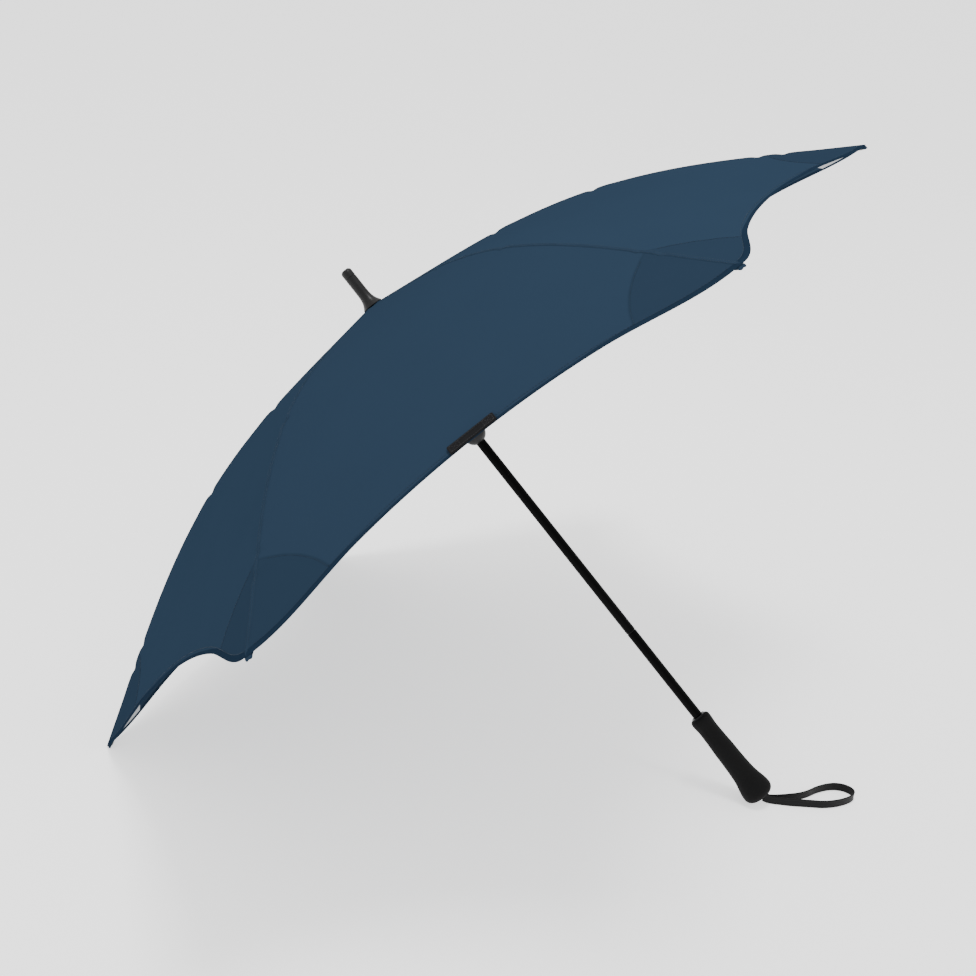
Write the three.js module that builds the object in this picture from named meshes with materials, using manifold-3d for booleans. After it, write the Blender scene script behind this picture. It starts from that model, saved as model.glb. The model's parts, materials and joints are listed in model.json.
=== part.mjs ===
// Stick umbrella, open, lying on two rib tips and its handle end. Millimetres, +Z up.
// The umbrella is built upright about its own shaft (apex of the canopy at 0, ferrule towards +Z),
// then leaned over as one group. A rib's azimuth is measured round the shaft from the side that faces up.
import * as THREE from "three";
import { mergeVertices } from "three/addons/utils/BufferGeometryUtils.js";
import Module from "manifold-3d";

const wasm = await Module();
wasm.setup();

// ---- driving dimensions ----
const PANELS = 6;
const PANEL_ANGLE = (2 * Math.PI) / PANELS;
const GAP = 0.3;

const CANOPY = {
  middleReach: 483, // shaft to the middle of a panel's hem
  tipReach: 522, // shaft to the line through two neighbouring tips
  scallopStart: 150, // where the hem leaves its shallow curve, measured from mid-panel
  scallopEnd: 290, // where it runs straight out to the tip
  scallopRise: 12, // rise of the shallow curve at scallopStart
  innerRadius: 10,
  thickness: 0.8,
  slopeAtCrown: THREE.MathUtils.degToRad(7.14),
  slopeAtTip: THREE.MathUtils.degToRad(32.07),
  bendFrom: 79.7,
  bendTo: 515.8,
};
const SHAFT = { radius: 6.25, bore: 5.3, top: 8, joint: -520, bottom: -768 };
const FERRULE = { tip: 54.8, radius: 7.2, base: 13.4, socket: 8.6 };
const CROWN = { top: -3.2, plate: 2.6, bottom: -14, radius: 13, pivotRadius: 9, pivotHeight: -9.2 };
const RIB = { width: 3, rootHeight: 3.4, tipHeight: 2.3, drop: 3.6, end: 579, eye: 2 };
const TIP = { from: 560, to: 597.5, width: 8.4, thickness: 3.4, socket: 24 };
const BRACKET = { radius: 286, length: 14, width: 7.4, below: 8.6, above: 1, pinDrop: 6, slot: 3.6 };
const PIN = { radius: 1.2, head: 1.9, reach: 4, headThickness: 0.8 };
const STRETCHER = { width: 3, height: 3.6, wall: 0.7, eye: 2, flat: 16 };
const RUNNER = {
  top: -150,
  bottom: -217.6,
  bore: 6.6,
  radius: 14.6,
  neck: 10.6,
  pivotRadius: 12.2,
  pivotHeight: -158,
  slotFloor: 9.9,
  slotWidth: 3.8,
};
const CATCH = { width: 3.4, length: 9, inner: 3.5, reach: 8.4, azimuth: 2 * PANEL_ANGLE };
const TOP_CATCH_HEIGHT = RUNNER.bottom - GAP;
const BOTTOM_CATCH_HEIGHT = -560;
const GRIP = {
  top: -657.5,
  shoulder: 13.4,
  waist: 12.5,
  waistHeight: -676,
  heelRadius: 15.3,
  heelHeight: -750,
  flareRadius: 19.7,
  cornerRadius: 10,
  bottom: -787,
  bore: 9.4,
};
const PLUG = { radius: 8.2, depth: 10.4, slotWide: 12.4, slotThick: 5.6 };
const TIE = { length: 57, width: 16, thickness: 1.4, fromHem: 1.5, pad: [22, 12, 0.8] };
const STRAP = { width: 11, thickness: 1.5 };

// Where the wrist strap runs, measured from the middle of the handle's end face, along X and Y,
// with the third number its height above the floor. Both of its ends go into the handle's end plug.
const STRAP_ROUTE = [
  [3.4, 1.2, 8.9],
  [8.5, 2.6, 6.6],
  [15, 3.6, 5.8],
  [25, 5, 5.7],
  [36, 6.4, 5.7],
  [52, 9.8, 5.7],
  [64, 13.4, 5.7],
  [75, 18.2, 5.7],
  [85, 24.6, 5.7],
  [94, 32.8, 5.7],
  [101.5, 42, 5.7],
  [107, 52, 5.7],
  [108, 60.5, 5.7],
  [103.5, 67.5, 5.7],
  [93, 70.4, 5.7],
  [82, 67.6, 5.7],
  [72, 60, 5.7],
  [62, 47.5, 5.7],
  [54, 35, 5.7],
  [45, 25.5, 5.7],
  [34, 18.4, 5.7],
  [23, 12.4, 5.7],
  [13, 7.6, 6],
  [7, 5, 6.9],
  [3.2, 4.1, 9],
];

const finish = (color, roughness, metalness = 0) =>
  new THREE.MeshStandardMaterial({ color, roughness, metalness });
const FABRIC = finish(0x2c455b, 0.8);
const BLACK_PLASTIC = finish(0x141416, 0.45);
const GREY_PLASTIC = finish(0x3a393c, 0.6);
const BLACK_METAL = finish(0x0d0d0f, 0.35, 0.6);
const STEEL = finish(0x8d9094, 0.35, 1);
const FIBREGLASS = finish(0x17181a, 0.5);
const SOFT_GRIP = finish(0x151516, 0.9);
const WEBBING = finish(0x1b1b1d, 0.85);

// ---- solids ----
function toSolid(geometry) {
  const bare = geometry.clone();
  bare.deleteAttribute("normal");
  bare.deleteAttribute("uv");
  const merged = mergeVertices(bare, 1e-4);
  return new wasm.Manifold(
    new wasm.Mesh({
      numProp: 3,
      vertProperties: new Float32Array(merged.attributes.position.array),
      triVerts: new Uint32Array(merged.index.array),
    }),
  );
}

function toGeometry(solid) {
  const mesh = solid.getMesh();
  const geometry = new THREE.BufferGeometry();
  geometry.setAttribute("position", new THREE.BufferAttribute(mesh.vertProperties, 3));
  geometry.setIndex(new THREE.BufferAttribute(mesh.triVerts, 1));
  return geometry;
}

const cut = (base, ...tools) =>
  toGeometry(tools.reduce((solid, tool) => solid.subtract(toSolid(tool)), toSolid(base)));
const join = (base, ...others) =>
  toGeometry(others.reduce((solid, other) => solid.add(toSolid(other)), toSolid(base)));

function block(x, y, z, centre = [0, 0, 0]) {
  return new THREE.BoxGeometry(x, y, z).translate(...centre);
}

// A solid of revolution about the shaft from [radius, height] points.
function turned(points, segments = 32) {
  const profile = points.map(([radius, height]) => new THREE.Vector2(radius, height));
  return new THREE.LatheGeometry(profile, segments).rotateX(Math.PI / 2);
}

// A closed tube wall, listed from its inner bottom edge outwards and back up the bore.
function turnedTube(points, segments) {
  return turned([...points, points[0]], segments);
}

// An outline in the plane of radius and height, given a width across that plane.
function sideExtrusion(shape, width) {
  const settings = { depth: width, bevelEnabled: false, curveSegments: 4 };
  return new THREE.ExtrudeGeometry(shape, settings).translate(0, 0, -width / 2).rotateX(Math.PI / 2);
}

function crossPin(radius, length, [x, z]) {
  return new THREE.CylinderGeometry(radius, radius, length, 8).translate(x, 0, z);
}

function arc(centreX, centreY, radius, from, to, steps) {
  return Array.from({ length: steps + 1 }, (_, i) => {
    const angle = from + ((to - from) * i) / steps;
    return [centreX + radius * Math.cos(angle), centreY + radius * Math.sin(angle)];
  });
}

// ---- the canopy's shape ----
function slopeAt(radius) {
  const t = THREE.MathUtils.smoothstep(radius, CANOPY.bendFrom, CANOPY.bendTo);
  return THREE.MathUtils.lerp(CANOPY.slopeAtCrown, CANOPY.slopeAtTip, t);
}

// Height of the seam over a rib, found by adding up its slope outwards from the apex.
function seamHeight(radius) {
  const steps = 60;
  const step = radius / steps;
  let height = 0;
  for (let i = 0; i < steps; i++) height -= Math.tan(slopeAt((i + 0.5) * step)) * step;
  return height;
}

// Distance from the shaft to the hem, for a point at `across` from the middle of a panel.
function hemReach(across) {
  const side = Math.abs(across);
  const { middleReach, tipReach, scallopStart, scallopEnd, scallopRise } = CANOPY;
  if (side <= scallopStart) return middleReach + scallopRise * (side / scallopStart) ** 2;
  if (side >= scallopEnd) return tipReach;
  const run = scallopEnd - scallopStart;
  const t = (side - scallopStart) / run;
  const startHeight = middleReach + scallopRise;
  const startSlope = (2 * scallopRise) / scallopStart;
  const ease = t * t * (3 - 2 * t);
  return startHeight + (tipReach - startHeight) * ease + startSlope * run * t * (1 - t) ** 2;
}

// Rib radius at which the hem is met, on the line that crosses a panel at share -0.5 to 0.5.
function hemRadius(share) {
  let radius = CANOPY.tipReach;
  for (let i = 0; i < 12; i++) radius = hemReach(radius * share) / Math.cos(PANEL_ANGLE / 2);
  return radius;
}

// A point of a panel's top face: x outwards along mid-panel, y across it.
function panelPoint(radius, share) {
  const across = share * (radius - GAP);
  return new THREE.Vector3(radius * Math.cos(PANEL_ANGLE / 2), across, seamHeight(radius));
}

function goreGeometry(hinge) {
  const radialSteps = 7;
  const acrossSteps = 12;
  const sheet = new THREE.BoxGeometry(1, 1, 1, radialSteps, acrossSteps, 1);
  const position = sheet.attributes.position;
  for (let i = 0; i < position.count; i++) {
    const out = position.getX(i) + 0.5;
    const side = position.getY(i);
    const share = 0.5 * Math.sin(Math.PI * side);
    const radius = THREE.MathUtils.lerp(CANOPY.innerRadius, hemRadius(share), out);
    const point = panelPoint(radius, share);
    point.z -= (0.5 - position.getZ(i)) * CANOPY.thickness;
    position.setXYZ(i, point.x - hinge.x, point.y, point.z - hinge.z);
  }
  return sheet;
}

// ---- ribs and stretchers, in the plane of radius and height ----
function ribHeight(radius) {
  return THREE.MathUtils.lerp(RIB.rootHeight, RIB.tipHeight, radius / RIB.end);
}

function ribCentre(radius) {
  const half = ribHeight(radius) / 2 / Math.cos(slopeAt(radius));
  return new THREE.Vector2(radius, seamHeight(radius) - RIB.drop - half);
}

const RIB_PIVOT = new THREE.Vector2(CROWN.pivotRadius, CROWN.pivotHeight);
const bracketSlope = slopeAt(BRACKET.radius);
const bracketCentre = ribCentre(BRACKET.radius);
const BRACKET_PIN = new THREE.Vector2(
  bracketCentre.x - BRACKET.pinDrop * Math.sin(bracketSlope),
  bracketCentre.y - BRACKET.pinDrop * Math.cos(bracketSlope),
);
const RUNNER_PIVOT = new THREE.Vector2(RUNNER.pivotRadius, RUNNER.pivotHeight);

function ribGeometry() {
  const stations = 14;
  const start = 30;
  const upper = [];
  const lower = [];
  for (let i = 0; i <= stations; i++) {
    const radius = THREE.MathUtils.lerp(start, RIB.end, i / stations);
    const centre = ribCentre(radius);
    const slope = slopeAt(radius);
    const half = ribHeight(radius) / 2;
    const out = new THREE.Vector2(Math.sin(slope) * half, Math.cos(slope) * half);
    upper.push([centre.x + out.x, centre.y + out.y]);
    lower.push([centre.x - out.x, centre.y - out.y]);
  }
  const eye = arc(RIB_PIVOT.x, RIB_PIVOT.y, RIB.eye, 0.5 * Math.PI, 1.5 * Math.PI, 6);
  const outline = [...lower, ...upper.reverse(), ...eye].map(
    ([x, y]) => new THREE.Vector2(x - RIB_PIVOT.x, y - RIB_PIVOT.y),
  );
  const shape = new THREE.Shape(outline);
  shape.holes.push(new THREE.Path().absarc(0, 0, 1.1, 0, 2 * Math.PI, true));
  return sideExtrusion(shape, RIB.width);
}

// Puts a piece modelled along a rib (x outwards, z up) onto the rib at a radius.
function ontoRib(geometry, radius) {
  const centre = ribCentre(radius);
  return geometry
    .rotateY(slopeAt(radius))
    .translate(centre.x - RIB_PIVOT.x, 0, centre.y - RIB_PIVOT.y);
}

function ribTipGeometry() {
  const length = (TIP.to - TIP.from) / Math.cos(CANOPY.slopeAtTip);
  const half = TIP.width / 2;
  const round = half * 0.9;
  const outline = new THREE.Shape();
  outline.moveTo(-length / 2, -half * 0.7);
  outline.lineTo(-length / 4, -half);
  outline.lineTo(length / 2 - round, -half);
  outline.absarc(length / 2 - round, 0, half, -Math.PI / 2, Math.PI / 2, false);
  outline.lineTo(-length / 4, half);
  outline.lineTo(-length / 2, half * 0.7);
  const settings = { depth: TIP.thickness, bevelEnabled: false, curveSegments: 8 };
  const paddle = new THREE.ExtrudeGeometry(outline, settings).translate(0, 0, -TIP.thickness / 2);
  const socket = block(TIP.socket * 2, RIB.width + 2 * GAP, RIB.tipHeight + 2 * GAP, [-length / 2, 0, 0]);
  return ontoRib(cut(paddle, socket), (TIP.from + TIP.to) / 2);
}

function bracketGeometry() {
  const { length, width, above, below, slot, pinDrop } = BRACKET;
  const body = block(length, width, above + below, [0, 0, (above - below) / 2]);
  const ribHalf = ribHeight(BRACKET.radius) / 2;
  const ribSlot = block(length + 2, slot, 10, [0, 0, 5 - ribHalf - 2 * GAP]);
  const ceiling = -pinDrop + STRETCHER.eye + 2 * GAP;
  const stretcherSlot = block(length + 2, slot, 10, [0, 0, ceiling - 5]);
  const pinHole = crossPin(PIN.radius + GAP, width + 2, [0, -pinDrop]);
  return ontoRib(cut(body, ribSlot, stretcherSlot, pinHole), BRACKET.radius);
}

function bracketPinGeometry() {
  const end = PIN.reach + PIN.headThickness;
  const profile = [
    [0, -end],
    [PIN.head, -end],
    [PIN.head, -PIN.reach],
    [PIN.radius, -PIN.reach],
    [PIN.radius, PIN.reach],
    [PIN.head, PIN.reach],
    [PIN.head, end],
    [0, end],
  ];
  return turned(profile, 8)
    .rotateX(Math.PI / 2)
    .translate(BRACKET_PIN.x - RIB_PIVOT.x, 0, BRACKET_PIN.y - RIB_PIVOT.y);
}

// The stretcher lies along +x from its bracket pin, then is turned towards the runner.
function stretcherGeometry() {
  const { width, height, wall, eye, flat } = STRETCHER;
  const span = BRACKET_PIN.distanceTo(RUNNER_PIVOT);
  const rise = RUNNER_PIVOT.clone().sub(BRACKET_PIN);
  const half = height / 2;
  const channel = new THREE.Shape([
    new THREE.Vector2(-width / 2, -half),
    new THREE.Vector2(width / 2, -half),
    new THREE.Vector2(width / 2, half),
    new THREE.Vector2(width / 2 - wall, half),
    new THREE.Vector2(width / 2 - wall, wall - half),
    new THREE.Vector2(wall - width / 2, wall - half),
    new THREE.Vector2(wall - width / 2, half),
    new THREE.Vector2(-width / 2, half),
  ]);
  const trough = new THREE.ExtrudeGeometry(channel, { depth: span - 2 * flat + 4, bevelEnabled: false })
    .rotateX(Math.PI / 2)
    .rotateZ(Math.PI / 2)
    .translate(flat - 2, 0, 0);
  const endBar = (centre, hole) => {
    const bar = new THREE.Shape();
    bar.absarc(0, 0, eye - 0.2, Math.PI / 2, 1.5 * Math.PI, false);
    bar.lineTo(flat, 0.2 - eye);
    bar.lineTo(flat, eye - 0.2);
    bar.holes.push(new THREE.Path().absarc(0, 0, hole, 0, 2 * Math.PI, true));
    const flatBar = sideExtrusion(bar, width);
    return centre ? flatBar.rotateY(Math.PI).translate(centre, 0, 0) : flatBar;
  };
  return join(trough, endBar(0, PIN.radius + GAP), endBar(span, 0.8)).rotateY(-Math.atan2(rise.y, rise.x));
}

// ---- pieces on the shaft ----
function shaftTube(bottom, top, catchHeight) {
  const wall = [
    [SHAFT.bore, bottom],
    [SHAFT.radius, bottom],
    [SHAFT.radius, top],
    [SHAFT.bore, top],
  ];
  const window = block(12, CATCH.width + 2 * GAP, CATCH.length + 2 * GAP, [8, 0, catchHeight]);
  return cut(turnedTube(wall, 20), window.rotateZ(CATCH.azimuth));
}

function couplerGeometry() {
  const half = 18;
  const outer = SHAFT.bore - GAP;
  return turnedTube(
    [
      [outer - 1.2, SHAFT.joint - half],
      [outer, SHAFT.joint - half],
      [outer, SHAFT.joint + half],
      [outer - 1.2, SHAFT.joint + half],
    ],
    20,
  );
}

function ferruleGeometry() {
  const flare = 21;
  const curve = new THREE.CubicBezierCurve(
    new THREE.Vector2(FERRULE.base, -1.2),
    new THREE.Vector2(FERRULE.base - 3.6, 5),
    new THREE.Vector2(FERRULE.radius, 8),
    new THREE.Vector2(FERRULE.radius, flare),
  );
  const flared = curve.getPoints(5).map((p) => [p.x, p.y]);
  const bore = SHAFT.radius + GAP;
  return turned(
    [
      [0, FERRULE.socket],
      [bore, FERRULE.socket],
      [bore, 0.2],
      ...flared,
      [FERRULE.radius, FERRULE.tip - 6],
      [FERRULE.radius - 1, FERRULE.tip - 1],
      [FERRULE.radius - 1.8, FERRULE.tip],
      [0, FERRULE.tip],
    ],
    22,
  );
}

function crownGeometry() {
  const bore = SHAFT.radius + GAP;
  const ring = turnedTube(
    [
      [bore, CROWN.bottom],
      [CROWN.radius - 1.5, CROWN.bottom],
      [CROWN.radius, CROWN.bottom + 1.5],
      [CROWN.radius, CROWN.top - 0.6],
      [CROWN.radius - 1, CROWN.top],
      [bore, CROWN.top],
    ],
    24,
  );
  const depth = CROWN.top - CROWN.plate - CROWN.bottom + 2;
  const slots = eachPanel((azimuth) =>
    block(20, RIB.width + 0.8, depth, [16, 0, CROWN.top - CROWN.plate - depth / 2]).rotateZ(azimuth),
  );
  const half = 1;
  const groove = turnedTube(
    [
      [CROWN.pivotRadius - half, CROWN.pivotHeight - half],
      [CROWN.pivotRadius + half, CROWN.pivotHeight - half],
      [CROWN.pivotRadius + half, CROWN.pivotHeight + half],
      [CROWN.pivotRadius - half, CROWN.pivotHeight + half],
    ],
    24,
  );
  return cut(ring, groove, ...slots);
}

function runnerGeometry() {
  const { top, bottom, bore, radius, neck, slotFloor, slotWidth } = RUNNER;
  const domeCentre = bottom + radius;
  const dome = arc(0, domeCentre, radius, -1.1, 0, 4);
  const body = turnedTube(
    [
      [bore, bottom + 1.6],
      ...dome,
      [radius - 0.8, domeCentre + 4],
      [neck, domeCentre + 10],
      [neck, top - 18],
      [radius, top - 14],
      [radius, top - 1],
      [radius - 1, top],
      [bore, top],
    ],
    24,
  );
  const slotLength = 21;
  const slots = eachPanel((azimuth) =>
    block(12, slotWidth, slotLength, [slotFloor + 6, 0, top + 1 - slotLength / 2]).rotateZ(azimuth),
  );
  const keyway = block(CATCH.reach + 0.5, CATCH.width + 1, 90, [(CATCH.reach + 0.5) / 2, 0, (top + bottom) / 2]);
  return cut(body, keyway.rotateZ(CATCH.azimuth), ...slots);
}

// A spring catch: a wedge that pokes out of the shaft. Its square end faces the runner.
function catchGeometry(squareEndUp) {
  const half = CATCH.length / 2;
  const square = squareEndUp ? half : -half;
  const wedge = new THREE.Shape([
    new THREE.Vector2(CATCH.inner, -square),
    new THREE.Vector2(SHAFT.radius - 0.4, -square),
    new THREE.Vector2(CATCH.reach, square * 0.6),
    new THREE.Vector2(CATCH.reach, square),
    new THREE.Vector2(CATCH.inner, square),
  ]);
  return sideExtrusion(wedge, CATCH.width);
}

// ---- handle ----
function gripGeometry() {
  const cornerHeight = GRIP.bottom + GRIP.cornerRadius;
  const cornerInset = GRIP.flareRadius - GRIP.cornerRadius;
  const flare = new THREE.CubicBezierCurve(
    new THREE.Vector2(GRIP.flareRadius, cornerHeight),
    new THREE.Vector2(GRIP.flareRadius, cornerHeight + 9),
    new THREE.Vector2(GRIP.heelRadius + 0.9, GRIP.heelHeight - 9),
    new THREE.Vector2(GRIP.heelRadius, GRIP.heelHeight),
  );
  const flared = flare.getPoints(4).map((p) => [p.x, p.y]);
  return turnedTube(
    [
      [PLUG.radius + GAP, GRIP.bottom],
      ...arc(cornerInset, cornerHeight, GRIP.cornerRadius, -Math.PI / 2, 0, 5).slice(0, -1),
      ...flared,
      [GRIP.waist + 1.2, -710],
      [GRIP.waist, GRIP.waistHeight],
      [GRIP.shoulder, GRIP.top - 8],
      [GRIP.shoulder, GRIP.top - 5],
      [GRIP.shoulder - 1.4, GRIP.top - 1.4],
      [GRIP.shoulder - 4, GRIP.top],
      [GRIP.bore, GRIP.top],
      [GRIP.bore, GRIP.bottom + PLUG.depth + GAP],
      [PLUG.radius + GAP, GRIP.bottom + PLUG.depth + GAP],
    ],
    24,
  );
}

function gripCoreGeometry() {
  return turnedTube(
    [
      [SHAFT.radius + GAP, SHAFT.bottom],
      [GRIP.bore - GAP, SHAFT.bottom],
      [GRIP.bore - GAP, GRIP.top + 1.5],
      [SHAFT.radius + GAP, GRIP.top + 1.5],
    ],
    24,
  );
}

function plugGeometry() {
  const disc = turned(
    [
      [0, GRIP.bottom],
      [PLUG.radius, GRIP.bottom],
      [PLUG.radius, GRIP.bottom + PLUG.depth],
      [0, GRIP.bottom + PLUG.depth],
    ],
    24,
  );
  return cut(disc, block(PLUG.slotWide, PLUG.slotThick, 40, [0, 0, GRIP.bottom]));
}

// ---- the tie that wraps the furled canopy, lying on a hem ----
function onHem(geometry, lift, hinge) {
  const radius = (CANOPY.middleReach - TIE.fromHem - TIE.width / 2) / Math.cos(PANEL_ANGLE / 2);
  const fall = Math.atan2(Math.tan(slopeAt(radius)), Math.cos(PANEL_ANGLE / 2));
  const face = panelPoint(radius, 0);
  return geometry
    .translate(0, 0, lift)
    .rotateY(fall)
    .translate(face.x - hinge.x, 0, face.z - hinge.z);
}

// ---- assembly ----
function eachPanel(make) {
  return Array.from({ length: PANELS }, (_, i) => make((i + 0.5) * PANEL_ANGLE, i + 1));
}

const umbrella = new THREE.Group();

function add(parent, name, geometry, material) {
  const mesh = new THREE.Mesh(geometry, material);
  mesh.name = name;
  parent.add(mesh);
  return mesh;
}

add(umbrella, "shaft_upper", shaftTube(SHAFT.joint + 0.4, SHAFT.top, TOP_CATCH_HEIGHT - 4.5), BLACK_METAL);
add(umbrella, "shaft_lower", shaftTube(SHAFT.bottom, SHAFT.joint - 0.4, BOTTOM_CATCH_HEIGHT), BLACK_METAL);
add(umbrella, "shaft_coupler", couplerGeometry(), STEEL);
add(umbrella, "ferrule", ferruleGeometry(), BLACK_PLASTIC);
add(umbrella, "crown_notch", crownGeometry(), BLACK_PLASTIC);
const wire = new THREE.TorusGeometry(CROWN.pivotRadius, 0.6, 6, 24).translate(0, 0, CROWN.pivotHeight);
add(umbrella, "crown_wire", wire, STEEL);
add(umbrella, "handle_grip", gripGeometry(), SOFT_GRIP);
add(umbrella, "handle_core", gripCoreGeometry(), BLACK_PLASTIC);
add(umbrella, "handle_end_plug", plugGeometry(), BLACK_PLASTIC);

const runner = add(umbrella, "runner", runnerGeometry().translate(0, 0, -RUNNER.pivotHeight), GREY_PLASTIC);
runner.position.z = RUNNER.pivotHeight;

const catchSide = new THREE.Group();
catchSide.rotation.z = CATCH.azimuth;
umbrella.add(catchSide);
const topCatch = add(catchSide, "top_catch", catchGeometry(true), STEEL);
topCatch.position.z = TOP_CATCH_HEIGHT - CATCH.length / 2;
const bottomCatch = add(catchSide, "bottom_catch", catchGeometry(false), STEEL);
bottomCatch.position.z = BOTTOM_CATCH_HEIGHT;

eachPanel((azimuth, number) => {
  const plane = new THREE.Group();
  plane.rotation.z = azimuth;
  umbrella.add(plane);
  const pieces = [
    ["rib", ribGeometry(), FIBREGLASS],
    ["rib_tip", ribTipGeometry(), BLACK_PLASTIC],
    ["rib_bracket", bracketGeometry(), BLACK_PLASTIC],
    ["rib_pin", bracketPinGeometry(), STEEL],
  ];
  for (const [name, geometry, material] of pieces) {
    add(plane, name + "_" + number, geometry, material).position.set(RIB_PIVOT.x, 0, RIB_PIVOT.y);
  }
  const stretcher = add(plane, "stretcher_" + number, stretcherGeometry(), STEEL);
  stretcher.position.set(BRACKET_PIN.x, 0, BRACKET_PIN.y);
});

// The canopy panels lie between the ribs, so they start half a panel round. The tie is on one hem.
const goreHinge = new THREE.Vector3(CROWN.pivotRadius, 0, CROWN.pivotHeight);
const TIE_PANEL = 6;
eachPanel((azimuth, number) => {
  const plane = new THREE.Group();
  plane.rotation.z = azimuth - PANEL_ANGLE / 2;
  umbrella.add(plane);
  const pieces = [["gore_" + number, goreGeometry(goreHinge), FABRIC]];
  if (number === TIE_PANEL) {
    const [padLength, padWidth, padThickness] = TIE.pad;
    const pad = block(padWidth, padLength, padThickness);
    const band = block(TIE.width, TIE.length, TIE.thickness);
    const padLift = GAP + padThickness / 2;
    const bandLift = 2 * GAP + padThickness + TIE.thickness / 2;
    pieces.push(["tie_pad", onHem(pad, padLift, goreHinge), WEBBING]);
    pieces.push(["tie_band", onHem(band, bandLift, goreHinge), WEBBING]);
  }
  for (const [name, geometry, material] of pieces) {
    add(plane, name, geometry, material).position.copy(goreHinge);
  }
});

// ---- lean: two tips and the rounded heel of the handle touch the floor ----
const tipRadius = hemRadius(0.5);
const tipPoint = new THREE.Vector2(
  tipRadius * Math.cos(PANEL_ANGLE / 2),
  seamHeight(tipRadius) - CANOPY.thickness,
);
const heelPoint = new THREE.Vector2(
  GRIP.flareRadius - GRIP.cornerRadius,
  GRIP.bottom + GRIP.cornerRadius,
);
const chord = tipPoint.clone().sub(heelPoint);
const lean = Math.atan2(chord.x, chord.y) - Math.asin(GRIP.cornerRadius / chord.length());
umbrella.rotation.y = lean - Math.PI / 2;

const assembly = new THREE.Group();
assembly.add(umbrella);
assembly.updateMatrixWorld(true);
const bounds = new THREE.Box3().setFromObject(assembly, true);
const middle = bounds.getCenter(new THREE.Vector3());
umbrella.position.set(-middle.x, -middle.y, -bounds.min.z);
umbrella.updateMatrixWorld(true);

// ---- wrist strap: a flat webbing standing on its edge ----
function strapGeometry(endFace) {
  const points = STRAP_ROUTE.map(([x, y, z]) => new THREE.Vector3(endFace.x + x, endFace.y + y, z));
  const half = STRAP.width / 2;
  const thin = STRAP.thickness / 2;
  const corner = 0.4;
  const section = new THREE.Shape([
    new THREE.Vector2(corner - thin, -half),
    new THREE.Vector2(thin - corner, -half),
    new THREE.Vector2(thin, corner - half),
    new THREE.Vector2(thin, half - corner),
    new THREE.Vector2(thin - corner, half),
    new THREE.Vector2(corner - thin, half),
    new THREE.Vector2(-thin, half - corner),
    new THREE.Vector2(-thin, corner - half),
  ]);
  const extrudePath = new THREE.CatmullRomCurve3(points);
  return new THREE.ExtrudeGeometry(section, { extrudePath, steps: 56, bevelEnabled: false });
}

const endFace = new THREE.Vector3(0, 0, GRIP.bottom).applyMatrix4(umbrella.matrixWorld);
add(assembly, "wrist_strap", strapGeometry(endFace), WEBBING);

export default assembly;
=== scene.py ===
"""A stick umbrella, open, lying on two rib tips and the heel of its handle.

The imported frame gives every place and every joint. This script lays cloth, webbing, grip and fittings
over it, dresses each surface, and adds a pale floor, soft lights and a camera. Lengths are metres.
The umbrella's own axes have z up the shaft towards the ferrule, 0 at the crown's apex, and x towards
the side that faces up.
"""

from __future__ import annotations

import json
import logging
import math
from dataclasses import dataclass, field
from enum import Enum
from functools import lru_cache
from typing import Iterable, Mapping, Sequence, Union

import bpy
import numpy as np
from mathutils import Matrix, Vector

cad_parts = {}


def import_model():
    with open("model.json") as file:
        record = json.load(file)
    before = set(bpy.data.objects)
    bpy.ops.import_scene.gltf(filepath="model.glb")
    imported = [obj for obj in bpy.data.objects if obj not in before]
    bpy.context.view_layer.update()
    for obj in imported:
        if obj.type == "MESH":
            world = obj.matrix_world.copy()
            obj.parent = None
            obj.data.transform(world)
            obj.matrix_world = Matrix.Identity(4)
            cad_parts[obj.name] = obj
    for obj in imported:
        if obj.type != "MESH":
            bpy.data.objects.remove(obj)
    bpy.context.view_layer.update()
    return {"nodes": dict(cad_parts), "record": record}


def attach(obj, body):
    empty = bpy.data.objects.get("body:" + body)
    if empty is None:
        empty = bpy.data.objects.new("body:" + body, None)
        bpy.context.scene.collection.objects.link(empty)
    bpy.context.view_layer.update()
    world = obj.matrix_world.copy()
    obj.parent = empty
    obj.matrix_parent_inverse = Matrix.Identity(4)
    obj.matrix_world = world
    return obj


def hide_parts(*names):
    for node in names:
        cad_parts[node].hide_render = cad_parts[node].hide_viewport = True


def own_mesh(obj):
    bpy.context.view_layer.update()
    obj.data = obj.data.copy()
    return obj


LOG = logging.getLogger("umbrella")
MM = 0.001
PANELS = 6
PANEL_ANGLE = 2 * math.pi / PANELS
HALF_COS = math.cos(PANEL_ANGLE / 2)
HALF_TAN = math.tan(PANEL_ANGLE / 2)
PIVOT_DROP = 0.0092  # from the crown's apex down to the rib pivots
CATCH_ANGLE = 120.0  # degrees round the shaft, the way that both catches face
Points = np.ndarray
SocketInput = Union["Field", float, Sequence[float]]


# ---------------------------------------------------------------- shader maths


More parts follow.
